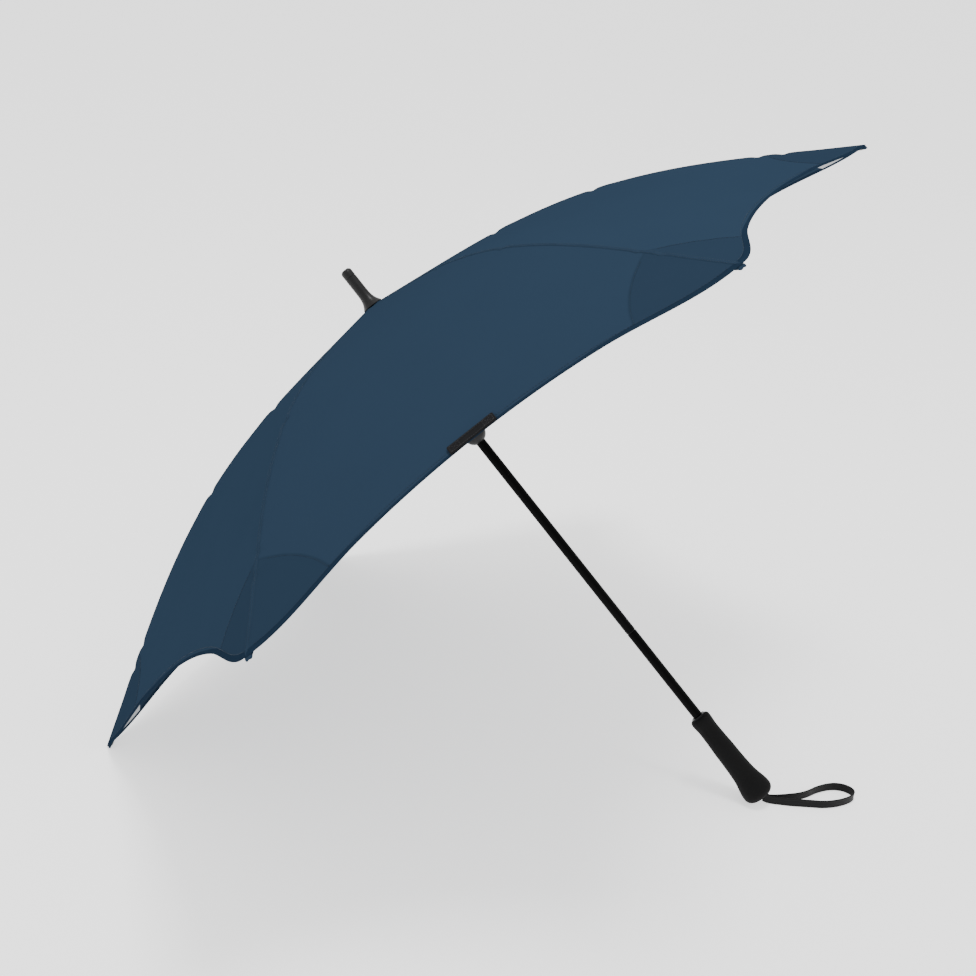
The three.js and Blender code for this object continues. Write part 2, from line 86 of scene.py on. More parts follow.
class Field:
    """A value that varies over a surface, held as one node's output.

    Args:
        graph: the graph that the value belongs to.
        socket: the output socket that carries it.
    """

    def __init__(self, graph: "Graph", socket: bpy.types.NodeSocket) -> None:
        """Keeps the graph and the socket."""
        self.graph = graph
        self.socket = socket

    def _math(self, operation: str, first: SocketInput, second: SocketInput = 0.0) -> "Field":
        """Adds one Math node.

        Args:
            operation: the Math node's operation.
            first: its first value.
            second: its second value.

        Returns:
            The node's output.
        """
        node = self.graph.node("ShaderNodeMath", {"operation": operation}, {0: first, 1: second})
        return Field(self.graph, node.outputs[0])

    def __add__(self, other: SocketInput) -> "Field":
        """self + other."""
        return self._math("ADD", self, other)

    def __radd__(self, other: SocketInput) -> "Field":
        """other + self."""
        return self._math("ADD", other, self)

    def __sub__(self, other: SocketInput) -> "Field":
        """self - other."""
        return self._math("SUBTRACT", self, other)

    def __rsub__(self, other: SocketInput) -> "Field":
        """other - self."""
        return self._math("SUBTRACT", other, self)

    def __mul__(self, other: SocketInput) -> "Field":
        """self * other."""
        return self._math("MULTIPLY", self, other)

    def __rmul__(self, other: SocketInput) -> "Field":
        """other * self."""
        return self._math("MULTIPLY", other, self)

    def __pow__(self, other: SocketInput) -> "Field":
        """self to the power of other."""
        return self._math("POWER", self, other)

    def __rpow__(self, other: SocketInput) -> "Field":
        """other to the power of self."""
        return self._math("POWER", other, self)

    def __abs__(self) -> "Field":
        """The value without its sign."""
        return self._math("ABSOLUTE", self)

    def sine(self) -> "Field":
        """The sine of the value, in radians."""
        return self._math("SINE", self)

    def at_most(self, other: SocketInput) -> "Field":
        """The smaller of the two values."""
        return self._math("MINIMUM", self, other)

    def between(self, low: float, high: float) -> "Field":
        """0 up to low and 1 from high, rising smoothly between them; low may be above high.

        Args:
            low: where it is 0.
            high: where it is 1.

        Returns:
            The eased share.
        """
        settings = {"interpolation_type": "SMOOTHSTEP", "clamp": True}
        ends = (low, high, 0.0, 1.0) if low < high else (high, low, 1.0, 0.0)
        sockets = {0: self, 1: ends[0], 2: ends[1], 3: ends[2], 4: ends[3]}
        return Field(self.graph, self.graph.node("ShaderNodeMapRange", settings, sockets).outputs[0])


class Graph:
    """One material's nodes, with a Principled shader ready to be fed.

    Args:
        name: the material's name.
    """

    def __init__(self, name: str) -> None:
        """Makes the material and its shader."""
        self.material = bpy.data.materials.new(name)
        self.material.use_nodes = True
        self.tree = self.material.node_tree
        self.shader = next(n for n in self.tree.nodes if n.type == "BSDF_PRINCIPLED")

    def node(
        self,
        kind: str,
        settings: Mapping[str, object] | None = None,
        sockets: Mapping[object, SocketInput] | None = None,
    ) -> bpy.types.Node:
        """Adds one node: its settings first, then the values or links of its sockets.

        Args:
            kind: the node's type.
            settings: its properties.
            sockets: what each input holds or is linked to, by name or index.

        Returns:
            The node.
        """
        made = self.tree.nodes.new(kind)
        for key, value in (settings or {}).items():
            setattr(made, key, value)
        for key, value in (sockets or {}).items():
            self.feed(made.inputs[key], value)
        return made

    def feed(self, socket: bpy.types.NodeSocket, value: SocketInput) -> None:
        """Links a field to a socket, or sets the socket's own value.

        Args:
            socket: the input.
            value: a field, a number or a tuple.
        """
        if isinstance(value, Field):
            self.tree.links.new(value.socket, socket)
        elif isinstance(value, (int, float)):
            socket.default_value = float(value)
        else:
            filled = (*value, 1.0) if socket.type == "RGBA" and len(value) == 3 else tuple(value)
            socket.default_value = filled

    def surface(self, **sockets: SocketInput) -> bpy.types.Material:
        """Feeds the shader's sockets, named in lower case with underscores for spaces.

        Args:
            sockets: what each of them holds.

        Returns:
            The finished material.
        """
        for name, value in sockets.items():
            title = " ".join("IOR" if w == "ior" else w.capitalize() for w in name.split("_"))
            self.feed(self.shader.inputs[title], value)
        return self.material

    def place(self) -> Field:
        """The point on the piece, in metres along the frame's axes."""
        return Field(self, self.node("ShaderNodeTexCoord").outputs["Object"])

    def flat_place(self) -> tuple[Field, Field]:
        """The point on a piece's flat pattern, in metres.

        Returns:
            Its place across and along the pattern.
        """
        pattern = self.node("ShaderNodeUVMap", {"uv_map": "pattern"})
        parts = self.node("ShaderNodeSeparateXYZ", None, {0: Field(self, pattern.outputs[0])})
        return Field(self, parts.outputs[0]), Field(self, parts.outputs[1])

    def noise(self, size: float, at: Field | None = None, detail: float = 3.0, rough: float = 0.5) -> Field:
        """Soft noise with patches of about the given size.

        Args:
            size: the patches' size in metres.
            at: where to read it; the point on the piece if left out.
            detail: how many finer layers it has.
            rough: how strong those layers are.

        Returns:
            The noise, from 0 to 1.
        """
        sockets = {"Vector": at or self.place(), "Scale": 1 / size, "Detail": detail, "Roughness": rough}
        return Field(self, self.node("ShaderNodeTexNoise", None, sockets).outputs[0])

    def stretched(self, across: Field, along: Field, stretch: float) -> Field:
        """A reading point whose patches are drawn out along a pattern's length.

        Args:
            across: the place across.
            along: the place along.
            stretch: how many times longer the patches are.

        Returns:
            The point.
        """
        sockets = {0: across, 1: along * (1 / stretch), 2: 0.0}
        return Field(self, self.node("ShaderNodeCombineXYZ", None, sockets).outputs[0])

    def blend(self, share: SocketInput, first: SocketInput, second: SocketInput) -> Field:
        """Mixes two colours.

        Args:
            share: 0 for the first, 1 for the second.
            first: a colour.
            second: a colour.

        Returns:
            The mixed colour.
        """
        mix = self.node("ShaderNodeMix", {"data_type": "RGBA"}, {0: share, 6: first, 7: second})
        return Field(self, mix.outputs[2])

    def relief(self, height: Field, depth: float, strength: float = 1.0) -> Field:
        """Turns a height into a normal.

        Args:
            height: the height, from 0 to 1.
            depth: how deep 1 is, in metres.
            strength: how much of it shows.

        Returns:
            The normal.
        """
        sockets = {"Strength": strength, "Distance": depth, "Height": height}
        return Field(self, self.node("ShaderNodeBump", None, sockets).outputs[0])


def shade(colour: Sequence[float], factor: float) -> tuple[float, ...]:
    """The colour, made lighter or darker."""
    return tuple(min(1.0, c * factor) for c in colour[:3])


# ---------------------------------------------------------------- finishes


@dataclass(frozen=True)
class Finish:
    """What a surface is made of.

    Attributes:
        name: the material's name.
        colour: its main colour, linear.
        roughness: how matt it is.
    """

    name: str
    colour: tuple[float, float, float]
    roughness: float

    @lru_cache(maxsize=None)
    def material(self) -> bpy.types.Material:
        """The Blender material, made once."""
        return self.build(Graph(self.name))

    def build(self, graph: Graph) -> bpy.types.Material:
        """Wires the material.

        Args:
            graph: the empty graph.

        Returns:
            The material.
        """
        raise NotImplementedError


@dataclass(frozen=True)
class CanopyCloth(Finish):
    """Plain-woven navy cloth, doubled into pockets at its two outer corners, with painted shade where the
    cloth is doubled.

    Attributes:
        corner: the corner's place across and along the flat panel.
        pocket: how far the doubled cloth, and the painted shade over it, reaches from the corner.
        stretch: how much flatter than a circle the doubled cloth's edge is.
        thread: the weave's pitch.
    """

    corner: tuple[float, float] = (0.3014, 0.522)
    pocket: float = 0.118
    stretch: float = 1.16
    thread: float = 0.0007

    def build(self, graph: Graph) -> bpy.types.Material:
        """Wires the weave, the slubs, painted shade over the doubled corners and along their edge, and the
        mottling.

        Args:
            graph: the empty graph.

        Returns:
            The material.
        """
        across, along = graph.flat_place()
        warp = (across * (2 * math.pi / self.thread)).sine()
        weft = (along * (2 * math.pi / self.thread)).sine()
        weave = warp * weft * 0.5 + 0.5
        slub = graph.noise(0.0016, graph.stretched(across, along, 9.0), 2.0)
        mottle = graph.noise(0.11, detail=2.0)
        aside = abs(across) - self.corner[0]
        down = (along - self.corner[1]) * self.stretch
        reach = (aside * aside + down * down) ** 0.5
        # painted shade: the doubled cloth at each outer corner is darkened as if less light came through two
        # layers, and the rim mask below paints a darker shade line along its edge
        pocket_shade = reach.between(self.pocket + 0.0012, self.pocket - 0.0012)
        rim = abs(reach - self.pocket).between(0.0022, 0.0006)
        cloth = graph.blend(mottle, shade(self.colour, 0.97), shade(self.colour, 1.03))
        cloth = graph.blend(slub * 0.2, cloth, shade(self.colour, 1.2))
        cloth = graph.blend(pocket_shade * 0.3, cloth, shade(self.colour, 0.62))
        cloth = graph.blend(rim * 0.14, cloth, shade(self.colour, 0.4))
        height = weave * 0.6 + slub * 0.4
        return graph.surface(
            base_color=cloth,
            roughness=slub * 0.12 + (self.roughness - 0.06),
            normal=graph.relief(height, 0.00006, 0.35),
            specular_ior_level=0.0,
        )


@dataclass(frozen=True)
class HemCloth(Finish):
    """Cloth turned over twice at an edge or along a seam.

    Attributes:
        weave: the weave's waves, in radians to a metre.
    """

    weave: float = 9000.0

    def build(self, graph: Graph) -> bpy.types.Material:
        """Wires a tight weave, with a soft fade where the fold rubs.

        Args:
            graph: the empty graph.

        Returns:
            The material.
        """
        across, along = graph.flat_place()
        weave = (across * self.weave).sine() * (along * self.weave).sine() * 0.5 + 0.5
        rub = graph.noise(0.02, detail=4.0)
        cloth = graph.blend(rub, shade(self.colour, 0.88), shade(self.colour, 1.14))
        return graph.surface(
            base_color=cloth,
            roughness=rub * 0.1 + self.roughness,
            normal=graph.relief(weave * 0.5 + rub * 0.5, 0.00008, 0.4),
            specular_ior_level=0.0,
        )


@dataclass(frozen=True)
class Ripstop(Finish):
    """Light pocket lining with a grid of thicker threads.

    Attributes:
        grid: the pitch of the thicker threads.
    """

    grid: float = 0.005

    def build(self, graph: Graph) -> bpy.types.Material:
        """Wires the grid of threads over a soft mottling.

        Args:
            graph: the empty graph.

        Returns:
            The material.
        """
        across, along = graph.flat_place()
        turn = math.pi / self.grid
        lines = abs((across * turn).sine()).at_most(abs((along * turn).sine()))
        ridge = lines.between(0.2, 0.05)
        mottle = graph.noise(0.03)
        cloth = graph.blend(mottle, shade(self.colour, 0.9), shade(self.colour, 1.05))
        cloth = graph.blend(ridge * 0.3, cloth, shade(self.colour, 0.75))
        return graph.surface(
            base_color=cloth,
            roughness=mottle * 0.1 + self.roughness,
            normal=graph.relief(ridge, 0.0001, 0.5),
            specular_ior_level=0.1,
        )


@dataclass(frozen=True)
class Webbing(Finish):
    """Flat woven webbing, with ribs across it and firmer edges.

    Attributes:
        width: the webbing's width.
        rib: the pitch of its ribs.
    """

    width: float = 0.011
    rib: float = 0.0012

    def build(self, graph: Graph) -> bpy.types.Material:
        """Wires the slanting ribs, the edge cords and the fuzz.

        Args:
            graph: the empty graph.

        Returns:
            The material.
        """
        across, along = graph.flat_place()
        slant = abs(across) * 0.7 + along
        ribs = (slant * (2 * math.pi / self.rib)).sine() * 0.5 + 0.5
        edge = abs(across).between(self.width * 0.40, self.width * 0.46)
        fuzz = graph.noise(0.0009, detail=2.0)
        wear = graph.noise(0.016, detail=3.0)
        cloth = graph.blend(ribs, shade(self.colour, 0.65), shade(self.colour, 1.35))
        cloth = graph.blend(edge * 0.5, cloth, shade(self.colour, 1.5))
        cloth = graph.blend(wear.between(0.5, 0.8) * 0.4, cloth, shade(self.colour, 2.0))
        return graph.surface(
            base_color=cloth,
            roughness=fuzz * 0.2 + (self.roughness - 0.1),
            normal=graph.relief(ribs * 0.7 + fuzz * 0.3, 0.00018, 0.6),
            specular_ior_level=0.12,
        )


@dataclass(frozen=True)
class Thread(Finish):
    """Sewing thread."""

    def build(self, graph: Graph) -> bpy.types.Material:
        """Wires a thread whose shade varies a little from stitch to stitch.

        Args:
            graph: the empty graph.

        Returns:
            The material.
        """
        vary = graph.noise(0.004, detail=1.0)
        thread = graph.blend(vary, shade(self.colour, 0.75), shade(self.colour, 1.25))
        return graph.surface(base_color=thread, roughness=vary * 0.1 + self.roughness, specular_ior_level=0.1)


@dataclass(frozen=True)
class Moulded(Finish):
    """Moulded plastic with a fine spark-eroded grain, polished a little by handling.

    Attributes:
        grain: the grain's size.
        depth: the grain's depth.
        polish: how much handling has smoothed it.
    """

    grain: float = 0.0005
    depth: float = 0.00004
    polish: float = 0.12

    def build(self, graph: Graph) -> bpy.types.Material:
        """Wires the grain, the handled patches and fine scuffs.

        Args:
            graph: the empty graph.

        Returns:
            The material.
        """
        grain = graph.noise(self.grain, detail=2.0)
        handled = graph.noise(0.018, detail=3.0)
        scuff = graph.noise(0.003, detail=4.0, rough=0.7).between(0.62, 0.74)
        body = graph.blend(handled, shade(self.colour, 0.85), shade(self.colour, 1.2))
        body = graph.blend(scuff * 0.25, body, shade(self.colour, 1.9))
        return graph.surface(
            base_color=body,
            roughness=self.roughness - handled * self.polish + scuff * 0.1,
            normal=graph.relief(grain, self.depth, 0.5),
            specular_ior_level=0.2,
        )


@dataclass(frozen=True)
class SoftTouch(Finish):
    """Soft-touch rubber: very matt, with a velvety bloom and faint dust."""

    def build(self, graph: Graph) -> bpy.types.Material:
        """Wires the fine skin, the bloom and the dust.

        Args:
            graph: the empty graph.

        Returns:
            The material.
        """
        skin = graph.noise(0.0007, detail=3.0, rough=0.6)
        bloom = graph.noise(0.03, detail=3.0)
        dust = graph.noise(0.0018, detail=3.0, rough=0.7).between(0.66, 0.78)
        rubber = graph.blend(bloom, shade(self.colour, 0.8), shade(self.colour, 1.3))
        rubber = graph.blend(dust * 0.25, rubber, shade(self.colour, 3.0))
        return graph.surface(
            base_color=rubber,
            roughness=bloom * 0.1 + (self.roughness - 0.05),
            normal=graph.relief(skin, 0.00005, 0.6),
            specular_ior_level=0.15,
        )


@dataclass(frozen=True)
class PaintedTube(Finish):
    """Satin black paint over a drawn steel tube, with fine rub marks along it."""

    def build(self, graph: Graph) -> bpy.types.Material:
        """Wires orange peel, rub marks down the length and their brighter paint.

        Args:
            graph: the empty graph.

        Returns:
            The material.
        """
        across, along = graph.flat_place()
        rub = graph.noise(0.0012, graph.stretched(across, along, 60.0), 3.0).between(0.6, 0.78)
        peel = graph.noise(0.0025, detail=1.0)
        paint = graph.blend(rub * 0.3, self.colour, shade(self.colour, 3.0))
        return graph.surface(
            base_color=paint,
            roughness=rub * 0.12 + peel * 0.06 + self.roughness,
            normal=graph.relief(peel, 0.00002, 0.4),
            specular_ior_level=0.05,
        )


@dataclass(frozen=True)
class Steel(Finish):
    """Plain steel, rolled or drawn, with a dull skin and darker specks."""

    def build(self, graph: Graph) -> bpy.types.Material:
        """Wires the dull patches and the specks.

        Args:
            graph: the empty graph.

        Returns:
            The material.
        """
        patch = graph.noise(0.01, detail=4.0)
        speck = graph.noise(0.0011, detail=2.0).between(0.62, 0.72)
        metal = graph.blend(patch, shade(self.colour, 0.75), shade(self.colour, 1.15))
        metal = graph.blend(speck * 0.4, metal, shade(self.colour, 0.4))
        return graph.surface(
            base_color=metal,
            metallic=1.0,
            roughness=patch * 0.15 + speck * 0.1 + self.roughness,
            normal=graph.relief(patch * 0.5 + speck * 0.5, 0.00002, 0.3),
        )


@dataclass(frozen=True)
class Pultruded(Finish):
    """Pultruded glass-fibre rod: black resin with faint pale strands."""

    def build(self, graph: Graph) -> bpy.types.Material:
        """Wires the strands and the resin's skin.

        Args:
            graph: the empty graph.

        Returns:
            The material.
        """
        strand = graph.noise(0.0006, detail=4.0, rough=0.7).between(0.55, 0.8)
        skin = graph.noise(0.012)
        rod = graph.blend(strand * 0.35, shade(self.colour, 0.9), shade(self.colour, 4.0))
        return graph.surface(
            base_color=rod,
            roughness=skin * 0.15 + self.roughness,
            normal=graph.relief(strand, 0.00003, 0.4),
            specular_ior_level=0.25,
        )


@dataclass(frozen=True)
class PlainFloor(Finish):
    """A plain pale sweep that gives off some light of its own, so that its shadows stay soft.

    Attributes:
        glow: how much light it gives off.
    """

    glow: float = 1.0

    def build(self, graph: Graph) -> bpy.types.Material:
        """Wires a very faint variation, so that the floor isn't one flat colour.

        Args:
            graph: the empty graph.

        Returns:
            The material.
        """
        vary = graph.noise(0.8, detail=1.0)
        floor = graph.blend(vary, shade(self.colour, 0.995), shade(self.colour, 1.005))
        return graph.surface(
            base_color=floor,
            roughness=self.roughness,
            specular_ior_level=0.0,
            emission_color=(1.0, 1.0, 1.0),
            emission_strength=self.glow,
        )


NAVY = (0.0175, 0.0322, 0.0545)
CLOTH = CanopyCloth("canopy_cloth", NAVY, 0.72)
# The hem's cloth is darker than the panels' cloth, as painted shade under the hem's curled edge; the tie's
# pad uses the same cloth.
HEM_PAINTED_SHADE = HemCloth("hem_cloth_painted_shade", (0.0095, 0.0195, 0.0355), 0.7)
SEAM = HemCloth("seam_cloth", (0.0167, 0.0306, 0.0520), 0.72)
LINING = Ripstop("pocket_lining", (0.42, 0.43, 0.44), 0.6)
NAVY_THREAD = Thread("navy_thread", (0.0140, 0.0265, 0.0450), 0.6)
BLACK_THREAD = Thread("black_thread", (0.03, 0.03, 0.032), 0.5)
TIE_WEBBING = Webbing("tie_webbing", (0.0032, 0.0032, 0.0038), 0.75, width=0.0135)
STRAP_WEBBING = Webbing("strap_webbing", (0.0032, 0.0032, 0.0035), 0.5)
SHAFT_PAINT = PaintedTube("shaft_paint", (0.0008, 0.0008, 0.0009), 0.36)
CATCH_STEEL = Steel("spring_steel", (0.42, 0.43, 0.45), 0.3)
LINK_STEEL = Steel("link_steel", (0.20, 0.205, 0.215), 0.38)
ROD = Pultruded("glass_fibre", (0.010, 0.010, 0.011), 0.38)
BLACK_MOULDED = Moulded("black_moulded", (0.008, 0.008, 0.009), 0.48)
FERRULE_MOULDED = Moulded("ferrule_moulded", (0.0085, 0.0085, 0.0088), 0.46)
RUNNER_MOULDED = Moulded("runner_moulded", (0.010, 0.010, 0.0105), 0.52)
GRIP_RUBBER = SoftTouch("grip_rubber", (0.0027, 0.0027, 0.0028), 0.82)
FLOOR = PlainFloor("pale_floor", (0.84, 0.84, 0.84), 0.95)


# ---------------------------------------------------------------- meshes


def unit(vectors: Points) -> Points:
    """The vectors, each made one long."""
    return vectors / np.linalg.norm(vectors, axis=-1)[..., None]


def distances(path: Points) -> Points:
    """How far along a path each of its points is."""
    return np.concatenate([[0.0], np.cumsum(np.linalg.norm(np.diff(path, axis=0), axis=1))])


def flat_pattern(across: Points, along: Points) -> Points:
    """Places on a flat pattern, from their distances across and along it."""
    return np.stack(np.broadcast_arrays(across, along), axis=-1)


def fit(
    piece: bpy.types.Object, finish: Finish, body: str, node: str | None = None
) -> bpy.types.Object:
    """Gives a piece its finish, and says what it moves with and stands for.

    Args:
        piece: the piece.
        finish: its finish.
        body: the body that it rides on.
        node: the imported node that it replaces, if any.

    Returns:
        The piece.
    """
    piece.data.materials.append(finish.material())
    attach(piece, body)
    if node:
        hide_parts(node)
    return piece


class Mould:
    """Makes meshes out of rows of points.

    Attributes:
        TURNED_CREASE: the angle in degrees above which a turned piece's edge is sharp.
        THREAD: a sewing thread's thickness.
        BEAD: a stitch's corners, as shares of half its length, half its width and its height.
        BEAD_FACES: the stitch's faces, as corner numbers.
    """

    TURNED_CREASE = 32.0
    THREAD = 0.0005
    BEAD = [(-1, -0.6, 0), (1, -0.6, 0), (1, 0.6, 0), (-1, 0.6, 0)]
    BEAD += [(-0.6, -1, 1), (0.6, -1, 1), (0.6, 1, 1), (-0.6, 1, 1)]
    BEAD_FACES = [(0, 3, 2, 1), (4, 5, 6, 7), (0, 1, 5, 4), (1, 2, 6, 5), (2, 3, 7, 6), (3, 0, 4, 7)]

    @staticmethod
    def piece(
        name: str,
        points: Points,
        faces: Iterable[Sequence[int]],
        pattern: Points | None = None,
        crease: float = 40.0,
    ) -> bpy.types.Object:
        """Makes an object of a mesh, smooth except at creases.

        Args:
            name: the piece's name.
            points: its corners, in the row frame.
            faces: its faces, as point numbers.
            pattern: each point's place on the flat pattern, in metres.
            crease: the angle in degrees above which an edge is sharp.

        Returns:
            The object, in the scene.
        """
        mesh = bpy.data.meshes.new(name)
        mesh.from_pydata(points.tolist(), [], [tuple(f) for f in faces])
        if pattern is not None:
            layer = mesh.uv_layers.new(name="pattern")
            corners = np.empty(len(mesh.loops), dtype=np.int32)
            mesh.loops.foreach_get("vertex_index", corners)
            layer.data.foreach_set("uv", pattern[corners].astype(np.float32).ravel())
        mesh.validate()
        mesh.shade_smooth()
        mesh.set_sharp_from_angle(angle=math.radians(crease))
        made = bpy.data.objects.new(name, mesh)
        bpy.context.scene.collection.objects.link(made)
        return made

    @staticmethod
    def quads(
        rows: int, columns: int, round_rows: bool = False, round_columns: bool = False
    ) -> list[tuple[int, ...]]:
        """The faces of a grid of points.

        Args:
            rows: how many rows.
            columns: how many points in a row.
            round_rows: whether the last row joins the first.
            round_columns: whether each row closes on itself.

        Returns:
            The faces, facing along row direction x column direction.
        """
        return [
            (
                i * columns + j,
                (i + 1) % rows * columns + j,
                (i + 1) % rows * columns + (j + 1) % columns,
                i * columns + (j + 1) % columns,
            )
            for i in range(rows if round_rows else rows - 1)
            for j in range(columns if round_columns else columns - 1)
        ]

    @classmethod
    def shell(
        cls, name: str, outer: Points, inner: Points, pattern: Points, crease: float = 50.0
    ) -> bpy.types.Object:
        """A thin closed solid between two grids of points.

        Args:
            name: the piece's name.
            outer: the outer grid, rows by columns by 3.
            inner: the inner grid, of the same shape.
            pattern: the flat pattern, rows by columns by 2.
            crease: the angle in degrees above which an edge is sharp.

        Returns:
            The object.
        """
        rows, columns = outer.shape[:2]
        count = rows * columns
        faces = cls.quads(rows, columns)
        faces += [tuple(reversed([p + count for p in f])) for f in cls.quads(rows, columns)]
        edge = [(i, 0) for i in range(rows)] + [(rows - 1, j) for j in range(1, columns)]
        edge += [(i, columns - 1) for i in range(rows - 2, -1, -1)]
        edge += [(0, j) for j in range(columns - 2, 0, -1)]
        ring = [i * columns + j for i, j in edge]
        for a, b in zip(ring, ring[1:] + ring[:1]):
            faces.append((a, a + count, b + count, b))
        points = np.concatenate([outer.reshape(-1, 3), inner.reshape(-1, 3)])
        flat = np.concatenate([pattern.reshape(-1, 2)] * 2)
        return cls.piece(name, points, faces, flat, crease)

    @classmethod
    def swept(cls, name: str, rings: Points, pattern: Points, crease: float = 40.0) -> bpy.types.Object:
        """A closed tube through rings of points, with flat ends.

        Args:
            name: the piece's name.
            rings: stations by ring points by 3.
            pattern: the flat pattern, stations by ring points by 2.
            crease: the angle in degrees above which an edge is sharp.

        Returns:
            The object.
        """
        rows, columns = rings.shape[:2]
        faces = cls.quads(rows, columns, round_columns=True)
        faces.append(tuple(range(columns)))
        faces.append(tuple(reversed(range((rows - 1) * columns, rows * columns))))
        return cls.piece(name, rings.reshape(-1, 3), faces, pattern.reshape(-1, 2), crease)

    @classmethod
    def turned(
        cls, name: str, profile: Sequence[tuple[float, float]], axes: "Axes", segments: int
    ) -> bpy.types.Object:
        """A closed ring turned about the shaft.

        Args:
            name: the piece's name.
            profile: its closed outline, as (radius, height), listed up the outside and down the bore.
            axes: the umbrella's axes.
            segments: how many steps round.

        Returns:
            The object.
        """
        outline = np.array(profile)
        angles = np.linspace(0, 2 * math.pi, segments, endpoint=False)
        rings = np.empty((segments, len(outline), 3))
        rings[..., 0] = np.cos(angles)[:, None] * outline[:, 0]
        rings[..., 1] = np.sin(angles)[:, None] * outline[:, 0]
        rings[..., 2] = outline[:, 1]
        faces = cls.quads(segments, len(outline), round_rows=True, round_columns=True)
        pattern = flat_pattern(angles[:, None] * 0.01, distances(outline)).reshape(-1, 2)
        return cls.piece(name, axes.row(rings.reshape(-1, 3)), faces, pattern, cls.TURNED_CREASE)

    @classmethod
    def carve(cls, body: bpy.types.Object, tools: Sequence[bpy.types.Object]) -> bpy.types.Object:
        """Cuts tools out of a body and throws them away.

        Args:
            body: the piece to cut.
            tools: the closed meshes to cut away.

        Returns:
            The body.
        """
        for tool in tools:
            step = body.modifiers.new("cut", "BOOLEAN")
            step.object = tool
            step.operation = "DIFFERENCE"
            step.solver = "EXACT"
        evaluated = body.evaluated_get(bpy.context.evaluated_depsgraph_get())
        mesh = bpy.data.meshes.new_from_object(evaluated)
        body.modifiers.clear()
        body.data = mesh
        mesh.shade_smooth()
        mesh.set_sharp_from_angle(angle=math.radians(cls.TURNED_CREASE))
        for tool in tools:
            bpy.data.objects.remove(tool)
        return body

    @classmethod
    def block(cls, name: str, low: Sequence[float], high: Sequence[float], axes: "Axes") -> bpy.types.Object:
        """A box in the given axes.

        Args:
            name: its name.
            low: its lowest corner.
            high: its highest corner.
            axes: the axes that the corners are in.

        Returns:
            The object.
        """
        corners = np.array([[(low, high)[(n >> k) & 1][k] for k in range(3)] for n in range(8)])
        faces = [(0, 2, 3, 1), (4, 5, 7, 6), (0, 1, 5, 4), (2, 6, 7, 3), (0, 4, 6, 2), (1, 3, 7, 5)]
        return cls.piece(name, axes.row(corners), faces, crease=20.0)

    @classmethod
    def stitches(cls, name: str, rows: Sequence["SewnLine"], length: float = 0.0024) -> bpy.types.Object:
        """Rows of stitches, each a small raised bead of thread.

        Args:
            name: the piece's name.
            rows: the lines that they follow.
            length: one stitch's length.

        Returns:
            One object that holds them all.
        """
        half, height, sunk = cls.THREAD / 2, cls.THREAD * 0.6, 0.00008
        sides = np.array(cls.BEAD_FACES)
        points, faces, count = [], [], 0
        for row in rows:
            at, ahead, up = row.spaced()
            side = np.cross(up, ahead)
            bead = [
                at + ahead * (x * length / 2) + side * (y * half) + up * (z * height - sunk)
                for x, y, z in cls.BEAD
            ]
            points.append(np.stack(bead, axis=1).reshape(-1, 3))
            starts = count + len(bead) * np.arange(len(at))
            faces += (starts[:, None, None] + sides).reshape(-1, 4).tolist()
            count += len(points[-1])
        return cls.piece(name, np.concatenate(points), faces, crease=75.0)


@dataclass(frozen=True)
class SewnLine:
    """A line that stitches follow.

    Attributes:
        path: points along it, in the row frame.
        normals: the cloth's normal at each point.
        pitch: the distance from one stitch to the next.
        probe: how far to each side the line's direction is read.
    """

    path: Points
    normals: Points
    pitch: float = 0.0034
    probe: float = 0.0005

    def spaced(self) -> tuple[Points, Points, Points]:
        """Where each stitch is.

        Returns:
            Each stitch's middle, its direction and its normal.
        """
        along = distances(self.path)
        count = max(2, int(along[-1] / self.pitch))
        at = (np.arange(count) + 0.5) * along[-1] / count
        near = self.probe
        ahead = unit(self._read(at + near, along, self.path) - self._read(at - near, along, self.path))
        up = self._read(at, along, self.normals)
        up = unit(up - ahead * (up * ahead).sum(1)[:, None])
        return self._read(at, along, self.path), ahead, up

    @staticmethod
    def _read(at: Points, along: Points, values: Points) -> Points:
        """The values at distances along the line."""
        return np.stack([np.interp(at, along, values[:, k]) for k in range(3)], axis=1)


def bezier(points: Sequence[tuple[float, float]], steps: int) -> list[tuple[float, float]]:
    """Points on a cubic curve.

    Args:
        points: its four control points.
        steps: how many steps it takes.

    Returns:
        The points, both ends included.
    """
    a, b, c, d = (np.array(p) for p in points)
    shares = np.linspace(0, 1, steps + 1)
    return [
        tuple(a * (1 - t) ** 3 + b * 3 * t * (1 - t) ** 2 + c * 3 * t * t * (1 - t) + d * t**3)
        for t in shares
    ]


def arc(
    centre: tuple[float, float], radius: float, start: float, end: float, steps: int
) -> list[tuple[float, float]]:
    """Points on an arc.

    Args:
        centre: its centre.
        radius: its radius.
        start: its first angle, in degrees.
        end: its last angle, in degrees.
        steps: how many steps it takes.

    Returns:
        The points, both ends included.
    """
    angles = np.radians(np.linspace(start, end, steps + 1))
    return [(centre[0] + radius * math.cos(a), centre[1] + radius * math.sin(a)) for a in angles]


# ---------------------------------------------------------------- the umbrella's axes and cloth form


